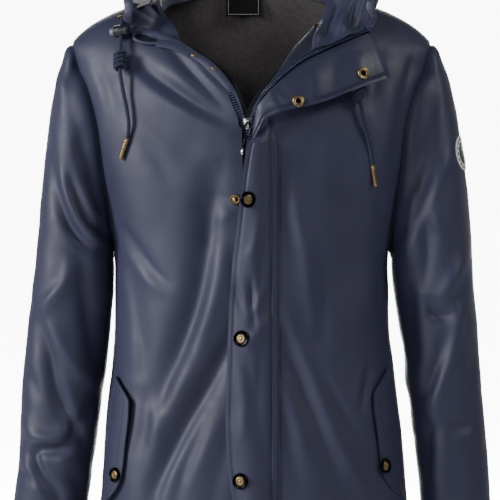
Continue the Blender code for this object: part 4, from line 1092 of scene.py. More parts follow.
# ---------------------------------------------------------------------------------------------
# Zip
# ---------------------------------------------------------------------------------------------
# Teeth above the slider as (x, z, height over the front): along each open edge.
RIGHT_TEETH = [(-0.0060, -0.1805, 0.0002), (-0.0148, -0.168, 0.0024), (-0.0212, -0.154, 0.0026),
               (-0.0258, -0.142, 0.0022), (-0.0300, -0.130, 0.0004), (-0.0370, -0.119, -0.0050),
               (-0.0560, -0.100, -0.008), (-0.0860, -0.078, -0.008), (-0.1080, -0.0700, -0.002),
               (-0.1200, -0.0660, 0.0006), (-0.1320, -0.0630, 0.0006)]
LAPEL_TEETH = [(-0.0020, -0.176, 0.002), (0.0045, -0.162, 0.012), (0.0125, -0.149, 0.020),
               (0.0205, -0.141, 0.024), (0.0310, -0.131, 0.0265), (0.0450, -0.120, 0.0270),
               (0.0620, -0.1085, 0.0270), (0.0900, -0.0945, 0.0270), (0.1240, -0.0790, 0.0265),
               (0.1490, -0.0680, 0.0260)]
TOOTH_PITCH = 0.0034


CHANNEL = -0.00065


def zip_route(side):
    """The closed stretch lies in the plane of the slider's channel, which travels straight down."""
    depth = body_point(ZIP_TOP_X, ZIP_TOP_Z)[1] + CHANNEL
    closed = []
    for z in np.linspace(ZIP_BOTTOM_Z, -0.188, 40):
        x = float(zip_x(z)) + side * 0.0016
        height = (depth - body_point(x, z)[1]) / body_normal(x, z)[1]
        closed.append((x, z, float(height)))
    return closed + (LAPEL_TEETH if side > 0 else RIGHT_TEETH)


def on_front(route):
    route = np.asarray(route, float)
    return body_point(route[:, 0], route[:, 1]) + body_normal(route[:, 0], route[:, 1]) * route[:, 2, None]


def zip_teeth(side, name):
    path = even_path(on_front(zip_route(side)), TOOTH_PITCH)
    way = unit(np.gradient(path, axis=0))
    out = body_normal(path[:, 0], path[:, 2])
    across = unit(np.cross(way, out))
    out = np.cross(across, way)
    parts = []
    for centre, along, up, wide in zip(path, way, out, across):
        basis = np.stack([along, wide, up], axis=1)
        centre = centre + along * side * TOOTH_PITCH / 4
        open_part = float(step_up(-0.178, -0.166, centre[2]))
        parts.append(rounded_box_mesh((0.0016, 0.0040 + 0.0010 * open_part, 0.0021), centre, basis, 0.25))
    vertices, faces = join_meshes(parts)
    teeth = new_object(name + "_teeth", vertices, faces, TEETH)
    done(teeth, "torso", name + "_zip_teeth", slot="zip_teeth")
    tape_route = np.asarray(zip_route(side), float)
    open_part = step_up(-0.180, -0.165, tape_route[:, 1])
    tape_route[:, 0] += (0.0040 if side < 0 else -0.0010) * open_part
    tape_route[:, 2] -= (0.0046 if side > 0 else 0.0018) * open_part
    fine = smooth_path(tape_route, 260)
    grid = strip_grid(fine, 0.0150, 0.0, 5)
    tape = cloth(name + "_tape", grid, TAPE, toward(0, -1, 0), 0.0007)
    done(tape, "torso", name + "_zip_tape", slot="zip_tape")


zip_teeth(-1, "right")
zip_teeth(1, "left")


def make_slider():
    place = body_point(ZIP_TOP_X, ZIP_TOP_Z)
    parts = []
    for depth, width in ((-0.0026, 0.0118), (0.0018, 0.0104)):
        outline = [(-0.5, 0.0066), (-0.32, 0.0074), (0.32, 0.0074), (0.5, 0.0066), (0.5, 0.0015),
                   (0.36, -0.0058), (0.26, -0.0068), (-0.26, -0.0068), (-0.36, -0.0058), (-0.5, 0.0015)]
        loop = np.array([(x * width, z) for x, z in outline])
        layers = []
        for y, inset in ((0.0006, 0.0), (0.0, 0.0), (-0.0007, 0.0), (-0.0011, 0.0008)):
            scale = 1 - inset / 0.006
            level = np.full(len(loop), depth + y)
            layers.append(np.stack([loop[:, 0] * scale, level, loop[:, 1] * scale], axis=1))
        vertices = np.vstack(layers)
        count = len(loop)
        faces = [(r * count + c, r * count + (c + 1) % count, (r + 1) * count + (c + 1) % count,
                  (r + 1) * count + c) for r in range(3) for c in range(count)]
        faces += [tuple(range(count))[::-1], tuple(3 * count + c for c in range(count))]
        parts.append((vertices + place, faces))
    crown = smooth_path([(0, -0.0034, 0.0056), (0, -0.0058, 0.0036), (0, -0.0062, 0.0), (0, -0.0056, -0.0034),
                         (0, -0.0034, -0.0052)], 16)
    parts.append(tube_mesh(crown + place, 0.0013, 10))
    for side in (-1, 1):
        flange = place + np.array([side * 0.0050, -0.00205, 0])
        parts.append(rounded_box_mesh((0.0010, 0.0015, 0.0100), flange))
    vertices, faces = join_meshes(parts)
    slider = new_object("slider_body", vertices, faces, STEEL)
    return done(slider, "slider", "zip_slider", slot="bright_steel")


def make_puller():
    """Black loop through the slider's crown, a stem, and a small bright bead at its end."""
    hinge = np.array([-0.0040, -0.1362, -0.1800])
    down = unit(np.array([-0.20, 0.06, -0.98]))
    side = np.array([0.98, 0.0, -0.20])
    loop = []
    for turn in np.linspace(0, 2 * math.pi, 33):
        loop.append(hinge + down * (0.0085 - 0.0105 * math.cos(turn)) + side * 0.0042 * math.sin(turn))
    parts = [tube_mesh(np.array(loop), 0.0011, 8)]
    stem = np.array([hinge + down * d for d in (0.018, 0.022, 0.028, 0.032)])
    parts.append(tube_mesh(stem, [0.0014, 0.0018, 0.0018, 0.0012], 10))
    vertices, faces = join_meshes(parts)
    puller = new_object("puller_loop", vertices, faces, DARK_STEEL)
    done(puller, "puller", "zip_puller", slot="lock_plastic")
    end = hinge + down * 0.0365
    profile = [(0, 0.0048), (0.0014, 0.0046), (0.0026, 0.0028), (0.0030, 0.0), (0.0026, -0.0028), (0.0014, -0.0044),
               (0, -0.0048)]
    bead = new_object("puller_bead", *turned_mesh(profile, end, -down, 24), STEEL)
    done(bead, "puller", slot="bright_steel")


make_slider()
make_puller()
stop = body_point(zip_x(ZIP_BOTTOM_Z), ZIP_BOTTOM_Z - 0.0065)
box_mesh = rounded_box_mesh((0.0095, 0.0040, 0.0110), stop + np.array([0, -0.001, 0]))
box = new_object("zip_box", *box_mesh, STEEL)
done(box, "torso", "zip_bottom_box", slot="bright_steel")


# ---------------------------------------------------------------------------------------------
# Neck edges: the right front's rolled band, the turned-back left front and its storm flap
# ---------------------------------------------------------------------------------------------
BAND_EDGE = [(-0.0050, -0.181), (-0.0065, -0.174), (-0.0110, -0.161), (-0.0175, -0.143), (-0.0264, -0.1276),
             (-0.0381, -0.112), (-0.0535, -0.0966), (-0.0729, -0.0837), (-0.0922, -0.0708), (-0.1116, -0.0605),
             (-0.1309, -0.0540), (-0.1430, -0.0520)]


def right_band():
    """Rolled edge of the right front, from the slider to its looped corner."""
    edge = even_path([(x, 0.0, z) for x, z in BAND_EDGE], 0.0025)[:, [0, 2]]
    way = unit(np.gradient(edge, axis=0))
    inward = np.stack([way[:, 1], -way[:, 0]], axis=1)
    inward[inward[:, 0] > 0] *= -1
    profile = smooth_path([(0.0030, -0.0080), (0.0006, -0.0060), (-0.0008, -0.0030), (-0.0004, -0.0002),
                           (0.0020, 0.0016), (0.0060, 0.0018), (0.0100, 0.0006), (0.0125, -0.0014),
                           (0.0150, -0.0030)], 26)
    width = 0.50 + 0.50 * step_up(0.035, 0.075, np.linspace(0, 0.23, len(edge)))
    x = edge[:, 0, None] + inward[:, 0, None] * profile[:, 0] * width[:, None]
    z = edge[:, 1, None] + inward[:, 1, None] * profile[:, 0] * width[:, None]
    lift = profile[:, 1] + ripple(np.stack([x, 0 * x, z], axis=-1), 0.05, 0.0007, 51)
    grid = body_point(x, z) + body_normal(x, z) * lift[..., None]
    band = cloth("right_edge_band", grid, NAVY, toward(0.3, -1, 0.3), 0.0012)
    done(band, "torso", slot="coated_navy")
    normals = grid_normals(grid, toward(0.3, -1, 0.3))
    rows = [(grid[6:, c], normals[6:, c]) for c in (12, 20)]
    done(stitches("right_band_stitching", rows), "torso")


right_band()


def looped_corner():
    """Mouth at the band's upper end: a sheet of the dark tape material inside it as painted shade, a rolled lower
    lip and the tape's folded end.
    """
    mouth = smooth_path([(-0.1500, -0.0640, 0.0004), (-0.1400, -0.0655, 0.0006), (-0.1280, -0.0670, 0.0004),
                         (-0.1120, -0.0705, 0.0002)], 30)
    # Painted shade: the mouth's inside is a dark tape-coloured sheet, darker than the navy it belongs to.
    inside = cloth("corner_mouth_painted_shade", strip_grid(mouth, 0.0100), TAPE, toward(0, -1, 0), 0.0008)
    done(inside, "torso", slot="coated_navy")
    lip = [(-0.1540, -0.0600, 0.0022), (-0.1525, -0.0670, 0.0026), (-0.1450, -0.0715, 0.0028),
           (-0.1345, -0.0738, 0.0026), (-0.1240, -0.0742, 0.0022), (-0.1140, -0.0748, 0.0010)]
    path = smooth_path([tuple(point) for point in on_front(lip)], 60)
    done(new_object("corner_lip", *tube_mesh(path, 0.0023, 14), NAVY), "torso", slot="coated_navy")
    end = smooth_path([(-0.1230, -0.0735, 0.0030), (-0.1080, -0.0760, 0.0030), (-0.0930, -0.0812, 0.0026),
                       (-0.0800, -0.0870, 0.0014)], 30)
    folded = strip_grid(end, 0.0110, 0.0, 7, 0.0008)
    tape_end = cloth("corner_tape_end", folded, NAVY, toward(0, -1, 0), 0.0012)
    done(tape_end, "torso", slot="coated_navy")


looped_corner()

ROLL_LINE = [(0.0000, -0.1720), (0.0060, -0.1600), (0.0125, -0.1500), (0.0205, -0.1370), (0.0305, -0.1220),
             (0.0410, -0.1065), (0.0550, -0.0885), (0.0665, -0.0760), (0.0790, -0.0620)]
FLAP_INNER = [(-0.0010, -0.2060), (0.0008, -0.1860), (0.0052, -0.1665), (0.0140, -0.1535), (0.0325, -0.1345),
              (0.0630, -0.1115), (0.0910, -0.0975), (0.1250, -0.0820), (0.1508, -0.0708)]
FLAP_FREE = [(-0.0035, -0.2140), (0.0030, -0.2010), (0.0096, -0.1887), (0.0170, -0.1778), (0.0427, -0.1670),
             (0.0810, -0.1581), (0.1192, -0.1428), (0.1447, -0.1325), (0.1690, -0.1224)]
FLAP_TOP_FOLDS = [
    (0.0022, 0.006, 0.010, [(0.024, -0.150), (0.036, -0.160), (0.040, -0.172)]),
    (-0.0025, 0.006, 0.006, [(0.030, -0.135), (0.044, -0.146), (0.062, -0.150)]),
    (0.0020, 0.010, 0.008, [(0.078, -0.108), (0.082, -0.130), (0.080, -0.158)]),
    (-0.0020, 0.010, 0.010, [(0.104, -0.096), (0.108, -0.118), (0.104, -0.150)]),
    (0.0022, 0.010, 0.010, [(0.138, -0.085), (0.140, -0.105), (0.150, -0.130)])]


def between(first, second, rows, columns, lift_first, lift_second, bow=0.0):
    """Grid laid over the left front between two lines, at heights given at the lines' two ends."""
    a = smooth_path([(x, 0, z) for x, z in first], rows - 1)
    b = smooth_path([(x, 0, z) for x, z in second], rows - 1)
    t = np.linspace(0, 1, columns)[None, :, None]
    flat = a[:, None] * (1 - t) + b[:, None] * t
    along = np.linspace(0, 1, rows)
    first_lift = np.interp(along, *zip(*lift_first))
    second_lift = np.interp(along, *zip(*lift_second))
    t = t[..., 0]
    lift = first_lift[:, None] * (1 - t) + second_lift[:, None] * t + bow * np.sin(math.pi * t)
    x, z = flat[..., 0], flat[..., 2]
    return body_point(x, z) + body_normal(x, z) * lift[..., None]


def turned_back_flap():
    grid = between(FLAP_INNER, FLAP_FREE, 100, 34, [(0, 0.004), (0.15, 0.012), (0.3, 0.021), (0.45, 0.025),
                                                   (1, 0.0255)],
                   [(0, 0.006), (0.2, 0.016), (0.35, 0.022), (0.5, 0.024), (1, 0.0245)], 0.0012)
    normals = grid_normals(grid, toward(0, -1, 0))
    height = folds(grid, FLAP_TOP_FOLDS) + ripple(grid, 0.06, 0.0008, 61)
    free = np.linalg.norm(grid - grid[:, -1:], axis=2)
    end = np.linalg.norm(grid - grid[-1:], axis=2)
    for distance in (free, end):
        height += seam_dip(distance - 0.0055, 0.0012, 0.0012) + 0.0009 * np.exp(-(distance / 0.0040) ** 2)
    grid = grid + normals * height[..., None]
    normals = grid_normals(grid, toward(0, -1, 0))
    flap = cloth("storm_flap_turned_back", grid, NAVY_INSIDE, toward(0, -1, 0), 0.0026, inside=NAVY)
    done(flap, "flap_top", "storm_flap_top", slot="coated_navy")
    rows = [(grid[14:-3, 31], normals[14:-3, 31]), (grid[-4, 3:32], normals[-4, 3:32])]
    done(stitches("flap_top_stitching", rows), "flap_top")
    return grid, normals


def lapel():
    teeth = [(x - 0.0014, z + 0.0018) for x, z, _ in LAPEL_TEETH[1:8]]
    roll = ROLL_LINE[1:]
    grid = between(roll, teeth, 70, 16, [(0, 0.002), (0.25, 0.010), (0.5, 0.016), (1, 0.020)],
                   [(0, 0.010), (0.2, 0.021), (0.4, 0.0262), (1, 0.0268)], 0.0030)
    back = []
    for shift, sink in ((0.0065, 0.0190), (0.0035, 0.0120), (0.0010, 0.0055), (0.0, 0.0015)):
        layer = grid[:, 0] + np.array([shift, sink, -0.2 * shift])
        back.append(layer)
    grid = np.concatenate([np.stack(back, axis=1), grid[:, 1:]], axis=1)
    normals = grid_normals(grid, toward(-0.6, -1, 0.3))
    grid = grid + normals * ripple(grid, 0.05, 0.0007, 62)[..., None]
    facing_cloth = cloth("left_facing_cloth", grid, NAVY_FACING, toward(-0.6, -1, 0.3), 0.0014)
    done(facing_cloth, "torso", "left_front_facing", slot="coated_navy")


FLAP_GRID, FLAP_NORMALS = turned_back_flap()
lapel()


# ---------------------------------------------------------------------------------------------
# Closed storm flap
# ---------------------------------------------------------------------------------------------
STORM_FOLDS = [
    (-0.0032, 0.0055, 0.0055, [(-0.026, -0.378), (-0.021, -0.395), (-0.008, -0.427)]),
    (-0.0050, 0.0040, 0.0060, [(0.000, -0.372), (0.001, -0.405), (0.004, -0.445)]),
    (0.0035, 0.005, 0.006, [(-0.010, -0.470), (0.003, -0.452), (0.026, -0.425)]),
    (0.0025, 0.005, 0.005, [(-0.004, -0.430), (0.008, -0.410), (0.022, -0.380)]),
    (0.0022, 0.006, 0.006, [(-0.006, -0.355), (0.004, -0.335), (0.010, -0.290)]),
    (-0.0022, 0.006, 0.006, [(0.013, -0.400), (0.012, -0.360), (0.016, -0.300)]),
    (-0.0020, 0.006, 0.007, [(-0.010, -0.470), (0.002, -0.520), (0.004, -0.590)]),
    (0.0018, 0.006, 0.007, [(-0.018, -0.480), (-0.010, -0.540), (-0.012, -0.600)]),
    (-0.0020, 0.005, 0.006, [(0.014, -0.450), (0.010, -0.520), (0.014, -0.610)]),
    (0.0020, 0.007, 0.006, [(-0.010, -0.660), (0.004, -0.690), (0.010, -0.730)])]
STORM_EDGE = [(-0.752, 0.0080), (-0.700, 0.0215), (-0.674, 0.0225), (-0.650, 0.0262), (-0.632, 0.0290),
              (-0.620, 0.0303), (-0.470, 0.0306), (-0.440, 0.0295), (-0.394, 0.0272), (-0.345, 0.0230),
              (-0.313, 0.0190), (-0.242, 0.0108), (-0.225, 0.0080), (-0.206, 0.0040), (-0.190, -0.0080),
              (-0.172, -0.0200)]


def storm_lift(x, z):
    """Height of the closed flap over the front: a flat strip at its seam, then a low arch."""
    edge = -spline(STORM_EDGE, z)
    across = np.clip((FLAP_SEAM_X - x) / (FLAP_SEAM_X - edge), 0, 1)
    arch = 0.0040 + 0.0085 * np.sin(math.pi * across) ** 1.2 + 0.0010 * across
    top = step_up(-0.36, -0.215, z)
    arch = arch + top * 0.015 * across ** 1.5
    arch = arch * (1 - 0.65 * step_up(-0.208, -0.182, z))
    return arch * step_up(FLAP_SEAM_X + 0.0036, FLAP_SEAM_X + 0.0012, x) + seam_dip(x - 0.0245, 0.0022, 0.0014)


def storm_point(x, z):
    return body_point(x, z) + body_normal(x, z) * storm_lift(x, z)[..., None]


def storm_grid(low, high):
    heights = body_heights(low, high, 0.0032)
    edge = -spline(STORM_EDGE, heights)
    columns = np.linspace(0, 1, 46)
    x = (FLAP_SEAM_X + 0.0046) + (edge - FLAP_SEAM_X - 0.0046)[:, None] * columns[None, :]
    z = np.repeat(heights[:, None], 46, axis=1)
    return heights, edge, x, storm_point(x, z)


def storm_root():
    """Short upper end of the flap, which stays on the front under the turned-back part."""
    *_, grid = storm_grid(-0.2155, -0.172)
    grid = grid + np.array([0, 0.0031, 0])
    root = cloth("storm_flap_root", grid, NAVY, toward(0, -1, 0), 0.0026, inside=NAVY_INSIDE)
    done(root, "torso", slot="coated_navy")


def storm_flap():
    heights, edge, x, grid = storm_grid(-0.752, -0.206)
    normals = grid_normals(grid, toward(0, -1, 0))
    fade = step_up(0.028, 0.020, x) * (0.4 + 0.6 * step_up(0.0, 0.012, x - edge[:, None]))
    height = (folds(grid, STORM_FOLDS) + ripple(grid, 0.07, 0.0008, 71)) * fade
    height += seam_dip(x - edge[:, None] - 0.0058, 0.0010, 0.0014)
    grid = grid + normals * height[..., None]
    normals = grid_normals(grid, toward(0, -1, 0))
    flap = cloth("storm_flap_cloth", grid, NAVY, toward(0, -1, 0), 0.0026, inside=NAVY_INSIDE)
    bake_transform(flap)
    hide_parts("storm_flap")
    near = int(np.argmin(np.abs(np.median(x, axis=0) - 0.0262)))
    rows = [(grid[:, near], normals[:, near]), (grid[:, 40], normals[:, 40])]
    thread = stitches("storm_flap_stitching", rows)
    done(thread, "storm_flap")
    seam_x = np.full(len(heights), FLAP_SEAM_X + 0.0066)
    seam_row = (body_point(seam_x, heights), body_normal(seam_x, heights))
    done(stitches("storm_seam_stitching", [seam_row]), "torso")
    return grid, normals


storm_root()
STORM_GRID, STORM_NORMALS = storm_flap()


# ---------------------------------------------------------------------------------------------
# Press studs
# ---------------------------------------------------------------------------------------------
def nearest_on(grid, normals, x, z):
    """Point and normal of a grid nearest to (x, z) as seen from the front."""
    gap = (grid[..., 0] - x) ** 2 + (grid[..., 2] - z) ** 2
    index = np.unravel_index(np.argmin(gap), gap.shape)
    low = [max(i - 2, 0) for i in index]
    area = normals[low[0]:index[0] + 3, low[1]:index[1] + 3].reshape(-1, 3)
    return np.array([x, grid[index][1], z]), unit(area.mean(axis=0))


def snap_cap(name, place, normal, body, node, radius=0.0105):
    """Black dished ring around a brass dome with a turned rim."""
    ring = [(radius, 0.0), (radius * 1.01, 0.0010), (radius * 0.96, 0.0024), (radius * 0.84, 0.0031),
            (radius * 0.70, 0.0027), (radius * 0.64, 0.0016), (radius * 0.62, 0.0)]
    dark = new_object(name + "_ring", *ring_mesh(ring, place, normal, 40), DARK_STEEL)
    done(dark, body, node, slot="antique_brass")
    dome = [(0, 0.0024), (radius * 0.10, 0.00235), (radius * 0.16, 0.0019), (radius * 0.26, 0.0020),
            (radius * 0.40, 0.0023), (radius * 0.52, 0.0021), (radius * 0.60, 0.0013), (radius * 0.61, 0.0002),
            (0, 0.0002)]
    centre = new_object(name + "_centre", *turned_mesh(dome, place, normal, 40), BRASS)
    done(centre, body, slot="antique_brass")


def snap_stud(name, place, normal, node, scale=1.0):
    base = [(0, 0.0040), (0.0013, 0.0039), (0.0021, 0.0032), (0.0021, 0.0022), (0.0034, 0.0013), (0.0046, 0.0012),
            (0.0054, 0.0018), (0.0062, 0.0017), (0.0068, 0.0008), (0.0068, 0.0001), (0, 0.0001)]
    base = [(radius * scale, height * scale) for radius, height in base]
    stud = new_object(name + "_post", *turned_mesh(base, place, normal, 32), BRASS)
    done(stud, "torso", node, slot="antique_brass")


def snap_socket(name, place, normal, node):
    ring = [(0.0078, 0.0), (0.0078, 0.0010), (0.0070, 0.0019), (0.0058, 0.0021), (0.0048, 0.0016),
            (0.0038, 0.0020), (0.0031, 0.0013), (0.0030, 0.0)]
    brass = new_object(name + "_rim", *ring_mesh(ring, place, normal, 36), BRASS)
    done(brass, "flap_top", node, slot="antique_brass")
    # Painted shade: a dark disc fills the socket's hole where its hollow would lie in shade.
    hollow_shade = [(0, 0.0006), (0.0027, 0.0006), (0.0029, 0.0003), (0, 0.0001)]
    done(new_object(name + "_hollow_shade", *turned_mesh(hollow_shade, place, normal, 20), DARK_STEEL), "flap_top")


for level, x, z in (("upper", -0.0062, -0.277), ("middle", -0.0128, -0.455), ("lower", -0.0142, -0.637)):
    place, normal = nearest_on(STORM_GRID, STORM_NORMALS, x, z)
    if level == "upper":
        normal = unit(normal + np.array([0.75, 0.0, 0.0]))
        place = place + normal * 0.0030
    snap_cap("cap_" + level, place + normal * 0.0004, normal, "storm_flap", "cap_" + level)
for level, x, z in (("upper", -0.0210, -0.277), ("middle", -0.0128, -0.455), ("lower", -0.0140, -0.637)):
    lift = 0.0012 if level == "upper" else -0.0004
    normal = body_normal(x, z)
    snap_stud("stud_" + level, body_point(x, z) + normal * lift, normal, "stud_" + level)
for level, x, z in (("collar_low", -0.0485, -0.1075), ("collar_high", -0.0740, -0.0900)):
    normal = unit(body_normal(x, z) + np.array([0.7, 0.0, 0.9]))
    snap_stud("stud_" + level, body_point(x, z) + normal * 0.0006, normal, "stud_" + level, 0.72)
for level, x, z in (("low", 0.0598, -0.1518), ("high", 0.1435, -0.1148)):
    place, normal = nearest_on(FLAP_GRID, FLAP_NORMALS, x, z)
    snap_socket("socket_" + level, place + normal * 0.0002, normal, "flap_socket_" + level)


# ---------------------------------------------------------------------------------------------
# Side pockets
# ---------------------------------------------------------------------------------------------
POCKET_SEAM = [(-0.508, 0.1762), (-0.524, 0.1790), (-0.560, 0.1855), (-0.620, 0.1925), (-0.674, 0.1975)]
POCKET_FREE = [(-0.508, 0.1738), (-0.518, 0.1680), (-0.528, 0.1615), (-0.5376, 0.1562), (-0.546, 0.1560),
               (-0.604, 0.1622), (-0.631, 0.1655), (-0.648, 0.1700), (-0.662, 0.1790), (-0.674, 0.1900)]


def pocket(side, name, rise):
    heights = body_heights(-0.674, -0.508, 0.0026)
    seam, free = side * spline(POCKET_SEAM, heights), side * spline(POCKET_FREE, heights)
    grid = section_grid(heights + rise, free, seam, 22)
    normals = grid_normals(grid, from_axis)
    across = np.linspace(0, 1, 22)[None, :]
    lift = 0.0062 - 0.0035 * across ** 3 + ripple(grid, 0.05, 0.0005, 81)
    lift = lift + seam_dip((1 - across) * 0.026 - 0.002, 0.0020, 0.0016)
    grid = grid + normals * lift[..., None]
    normals = grid_normals(grid, from_axis)
    flap = cloth(name + "_flap_cloth", grid, NAVY, from_axis, 0.0028, inside=NAVY_INSIDE)
    rows = [(grid[2:-3, 4], normals[2:-3, 4]), (grid[2:-2, 19], normals[2:-2, 19])]
    thread = stitches(name + "_flap_stitching", rows)
    for piece in (flap, thread):
        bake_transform(piece)
    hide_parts(name + "_pocket_flap")
    x, z = side * (0.1778 if side < 0 else 0.1740), -0.6347 + 1.2 * rise
    place, normal = nearest_on(grid, normals, x, z)
    cap_node = name + "_pocket_cap"
    snap_cap(name + "_pocket_snap", place + normal * 0.0003, normal, name + "_pocket", cap_node, 0.0098)
    normal = body_normal(x, z)
    snap_stud(name + "_pocket_post", body_point(x, z) - normal * 0.0010, normal, name + "_pocket_stud")


pocket(-1, "right", 0.0)
pocket(1, "left", 0.010)


# ---------------------------------------------------------------------------------------------
# Hood worn down: neck seam, fold at the bottom, and rim of the opening, for the left half
# ---------------------------------------------------------------------------------------------
HOOD_SEAM = [(0.000, 0.084, 0.030), (0.055, 0.076, 0.026), (0.102, 0.044, 0.014), (0.124, -0.002, 0.003),
             (0.132, -0.040, -0.010), (0.134, -0.064, -0.020)]
HOOD_FOLD = [(0.000, 0.178, -0.160), (0.080, 0.168, -0.135), (0.140, 0.132, -0.062), (0.168, 0.052, -0.006),
             (0.164, -0.020, -0.006), (0.158, -0.062, -0.034)]
HOOD_RIM = [(0.000, 0.208, 0.050), (0.078, 0.190, 0.058), (0.140, 0.134, 0.066), (0.172, 0.056, 0.058),
            (0.172, -0.016, 0.030), (0.162, -0.062, -0.004)]
HOOD_PLACES = 400


def hood_line(line):
    """Points of a whole line of the hood, evenly numbered from the right front to the left front."""
    whole = [(-x, y, z) for x, y, z in line[:0:-1]] + line
    return smooth_path(whole, HOOD_PLACES)


SEAM_LINE, FOLD_LINE, RIM_LINE = hood_line(HOOD_SEAM), hood_line(HOOD_FOLD), hood_line(HOOD_RIM)


def raise_with_hood(thing):
    """Bakes the object's placement into its mesh."""
    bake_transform(thing)


def make_hood():
    rows = []
    for index in range(0, HOOD_PLACES + 1, 2):
        seam, fold, rim = SEAM_LINE[index], FOLD_LINE[index], RIM_LINE[index]
        outward = unit(np.array([fold[0], fold[1] - 0.02, 0.0]))
        outer = (rim + fold) / 2 + outward * 0.10 * np.linalg.norm(rim - fold)
        inner = (seam + fold) / 2 + outward * 0.006
        row = even_path([rim, outer, fold, inner, seam], np.linalg.norm(rim - fold) / 200)
        rows.append(row[np.linspace(0, len(row) - 1, 52).astype(int)])
    grid = np.array(rows)

    def outward_of(points):
        return points - points.mean(axis=1, keepdims=True)

    places = np.linspace(-1, 1, len(grid))[:, None]
    across = np.linspace(0, 1, grid.shape[1])[None, :]
    normals = grid_normals(grid, outward_of)
    height = ripple(grid, 0.10, 0.0045, 91) + ripple(grid, 0.04, 0.0014, 92)
    height += 0.0016 * np.sin(places * 95.0) * step_up(0.80, 1.0, across)
    height += 0.0010 * np.sin(places * 130.0) * step_up(0.10, 0.0, across)
    height = height * (0.25 + 0.75 * np.minimum(1, 8 * (1 - np.abs(places))))
    height += seam_dip((np.abs(places) - 0.2585) * 0.30, 0.0022, 0.0022)
    grid = grid + normals * height[..., None]
    normals = grid_normals(grid, outward_of)
    hood = cloth("hood_cloth", grid, NAVY, outward_of, 0.0016, inside=GREY_JERSEY, solidify=True)
    raise_with_hood(hood)
    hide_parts("right_hood_panel", "hood_centre_panel", "left_hood_panel")
    rows = []
    for place in (-0.2585, 0.2585):
        for shift in (-0.012, 0.012):
            r = int(np.argmin(np.abs(places[:, 0] - place - shift)))
            rows.append((grid[r, 2:-2], normals[r, 2:-2]))
    thread = stitches("hood_stitching", rows, 0.0044, 0.0028)
    raise_with_hood(thread)


make_hood()


def oval_tube(path, wide, width, thick, sides=20, pucker=0.0):
    """Flat tube of fabric along a path; wide gives the direction of its width at each point."""
    tangents = unit(np.gradient(path, axis=0))
    wide = unit(wide - tangents * np.sum(wide * tangents, axis=1)[:, None])
    flat = np.cross(tangents, wide)
    turn = np.arange(sides) * 2 * math.pi / sides
    shape = (np.abs(np.cos(turn)) ** 0.8 * np.sign(np.cos(turn)),
             np.abs(np.sin(turn)) ** 0.9 * np.sign(np.sin(turn)))
    run = np.concatenate([[0], np.cumsum(np.linalg.norm(np.diff(path, axis=0), axis=1))])
    swell = 1 + pucker * (np.sin(run * 2 * math.pi / 0.013) + 0.6 * np.sin(run * 2 * math.pi / 0.0083 + 1))
    grid = (path[:, None] + wide[:, None] * (shape[0] * width / 2)[None, :, None]
            + flat[:, None] * (shape[1][None, :] * thick / 2 * swell[:, None])[..., None])
    vertices = grid.reshape(-1, 3)
    faces = [(r * sides + c, r * sides + (c + 1) % sides,
              (r + 1) * sides + (c + 1) % sides, (r + 1) * sides + c)
             for r in range(len(path) - 1) for c in range(sides)]
    faces = [face[::-1] for face in faces]
    faces += [tuple(range(sides)), tuple((len(path) - 1) * sides + c for c in range(sides))[::-1]]
    return vertices, faces, flat


def make_casing():
    rise = unit(RIM_LINE - FOLD_LINE)
    path = RIM_LINE + rise * 0.0075
    path = path[6:-6]
    vertices, faces, flat = oval_tube(path, rise[6:-6], 0.0150, 0.0056, 20, 0.12)
    casing = new_object("hood_casing_hem", vertices, faces, NAVY)
    raise_with_hood(casing)
    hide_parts("hood_casing")
    line = RIM_LINE[6:-6] + rise[6:-6] * 0.0022
    rows = [(line + flat * 0.0026, flat), (line - flat * 0.0026, -flat)]
    raise_with_hood(stitches("casing_stitching", rows))


make_casing()


# ---------------------------------------------------------------------------------------------
# Hood fronts, neck facing, label and hanging loop
# ---------------------------------------------------------------------------------------------
def loft(first, second, rows, columns, bow=(0, 0, 0)):
    """Grid between two edges given as 3-D points, from the first edge across to the second."""
    a, b = smooth_path(first, rows - 1), smooth_path(second, rows - 1)
    t = np.linspace(0, 1, columns)[None, :, None]
    return a[:, None] * (1 - t) + b[:, None] * t + np.array(bow) * np.sin(math.pi * t)


def on_body(x, z, proud=0.0):
    return tuple(body_point(x, z) + body_normal(x, z) * proud)


def left_hood_front():
    inner = [on_body(0.0690, -0.1000, 0.0262), on_body(0.0760, -0.0780, 0.0240), (0.0900, -0.0800, -0.0400),
             (0.1060, -0.0560, 0.0000), (0.1180, -0.0420, 0.0140)]
    outer = [on_body(0.1500, -0.0648, 0.0262), on_body(0.1560, -0.0520, 0.0200), (0.1575, -0.0790, -0.0240),
             (0.1610, -0.0720, -0.0060), (0.1680, -0.0600, 0.0140)]
    grid = loft(inner, outer, 60, 70, (0, -0.010, 0.0))
    normals = grid_normals(grid, toward(0, -1, 0.2))
    u = np.linspace(0, 1, 70)[None, :]
    v = np.linspace(0, 1, 60)[:, None]
    gather = (0.0038 * np.sin(2 * math.pi * (2.3 * u + 0.6 * v))
              + 0.0014 * np.sin(2 * math.pi * (5.1 * u - 0.8 * v)))
    gather = gather * (0.25 + 0.75 * np.sin(math.pi * np.clip(v * 1.15, 0, 1)))
    height = gather + ripple(grid, 0.03, 0.0012, 93)
    height = height * np.minimum(1, 8 * u + 0.1) * np.minimum(1, 8 * (1 - u) + 0.1)
    grid = grid + normals * height[..., None]
    front = cloth("left_hood_front", grid, NAVY, toward(0, -1, 0.2), 0.0018, inside=NAVY_INSIDE)
    done(front, "torso", slot="coated_navy")
    edge = smooth_path(outer, 60)
    edge = edge + np.array([-0.003, -0.0065, 0])
    vertices, faces, _ = oval_tube(edge, np.tile([1.0, -0.3, 0.1], (61, 1)), 0.0120, 0.0052, 20, 0.10)
    hem = new_object("left_front_casing", vertices, faces, NAVY)
    done(hem, "torso", slot="coated_navy")


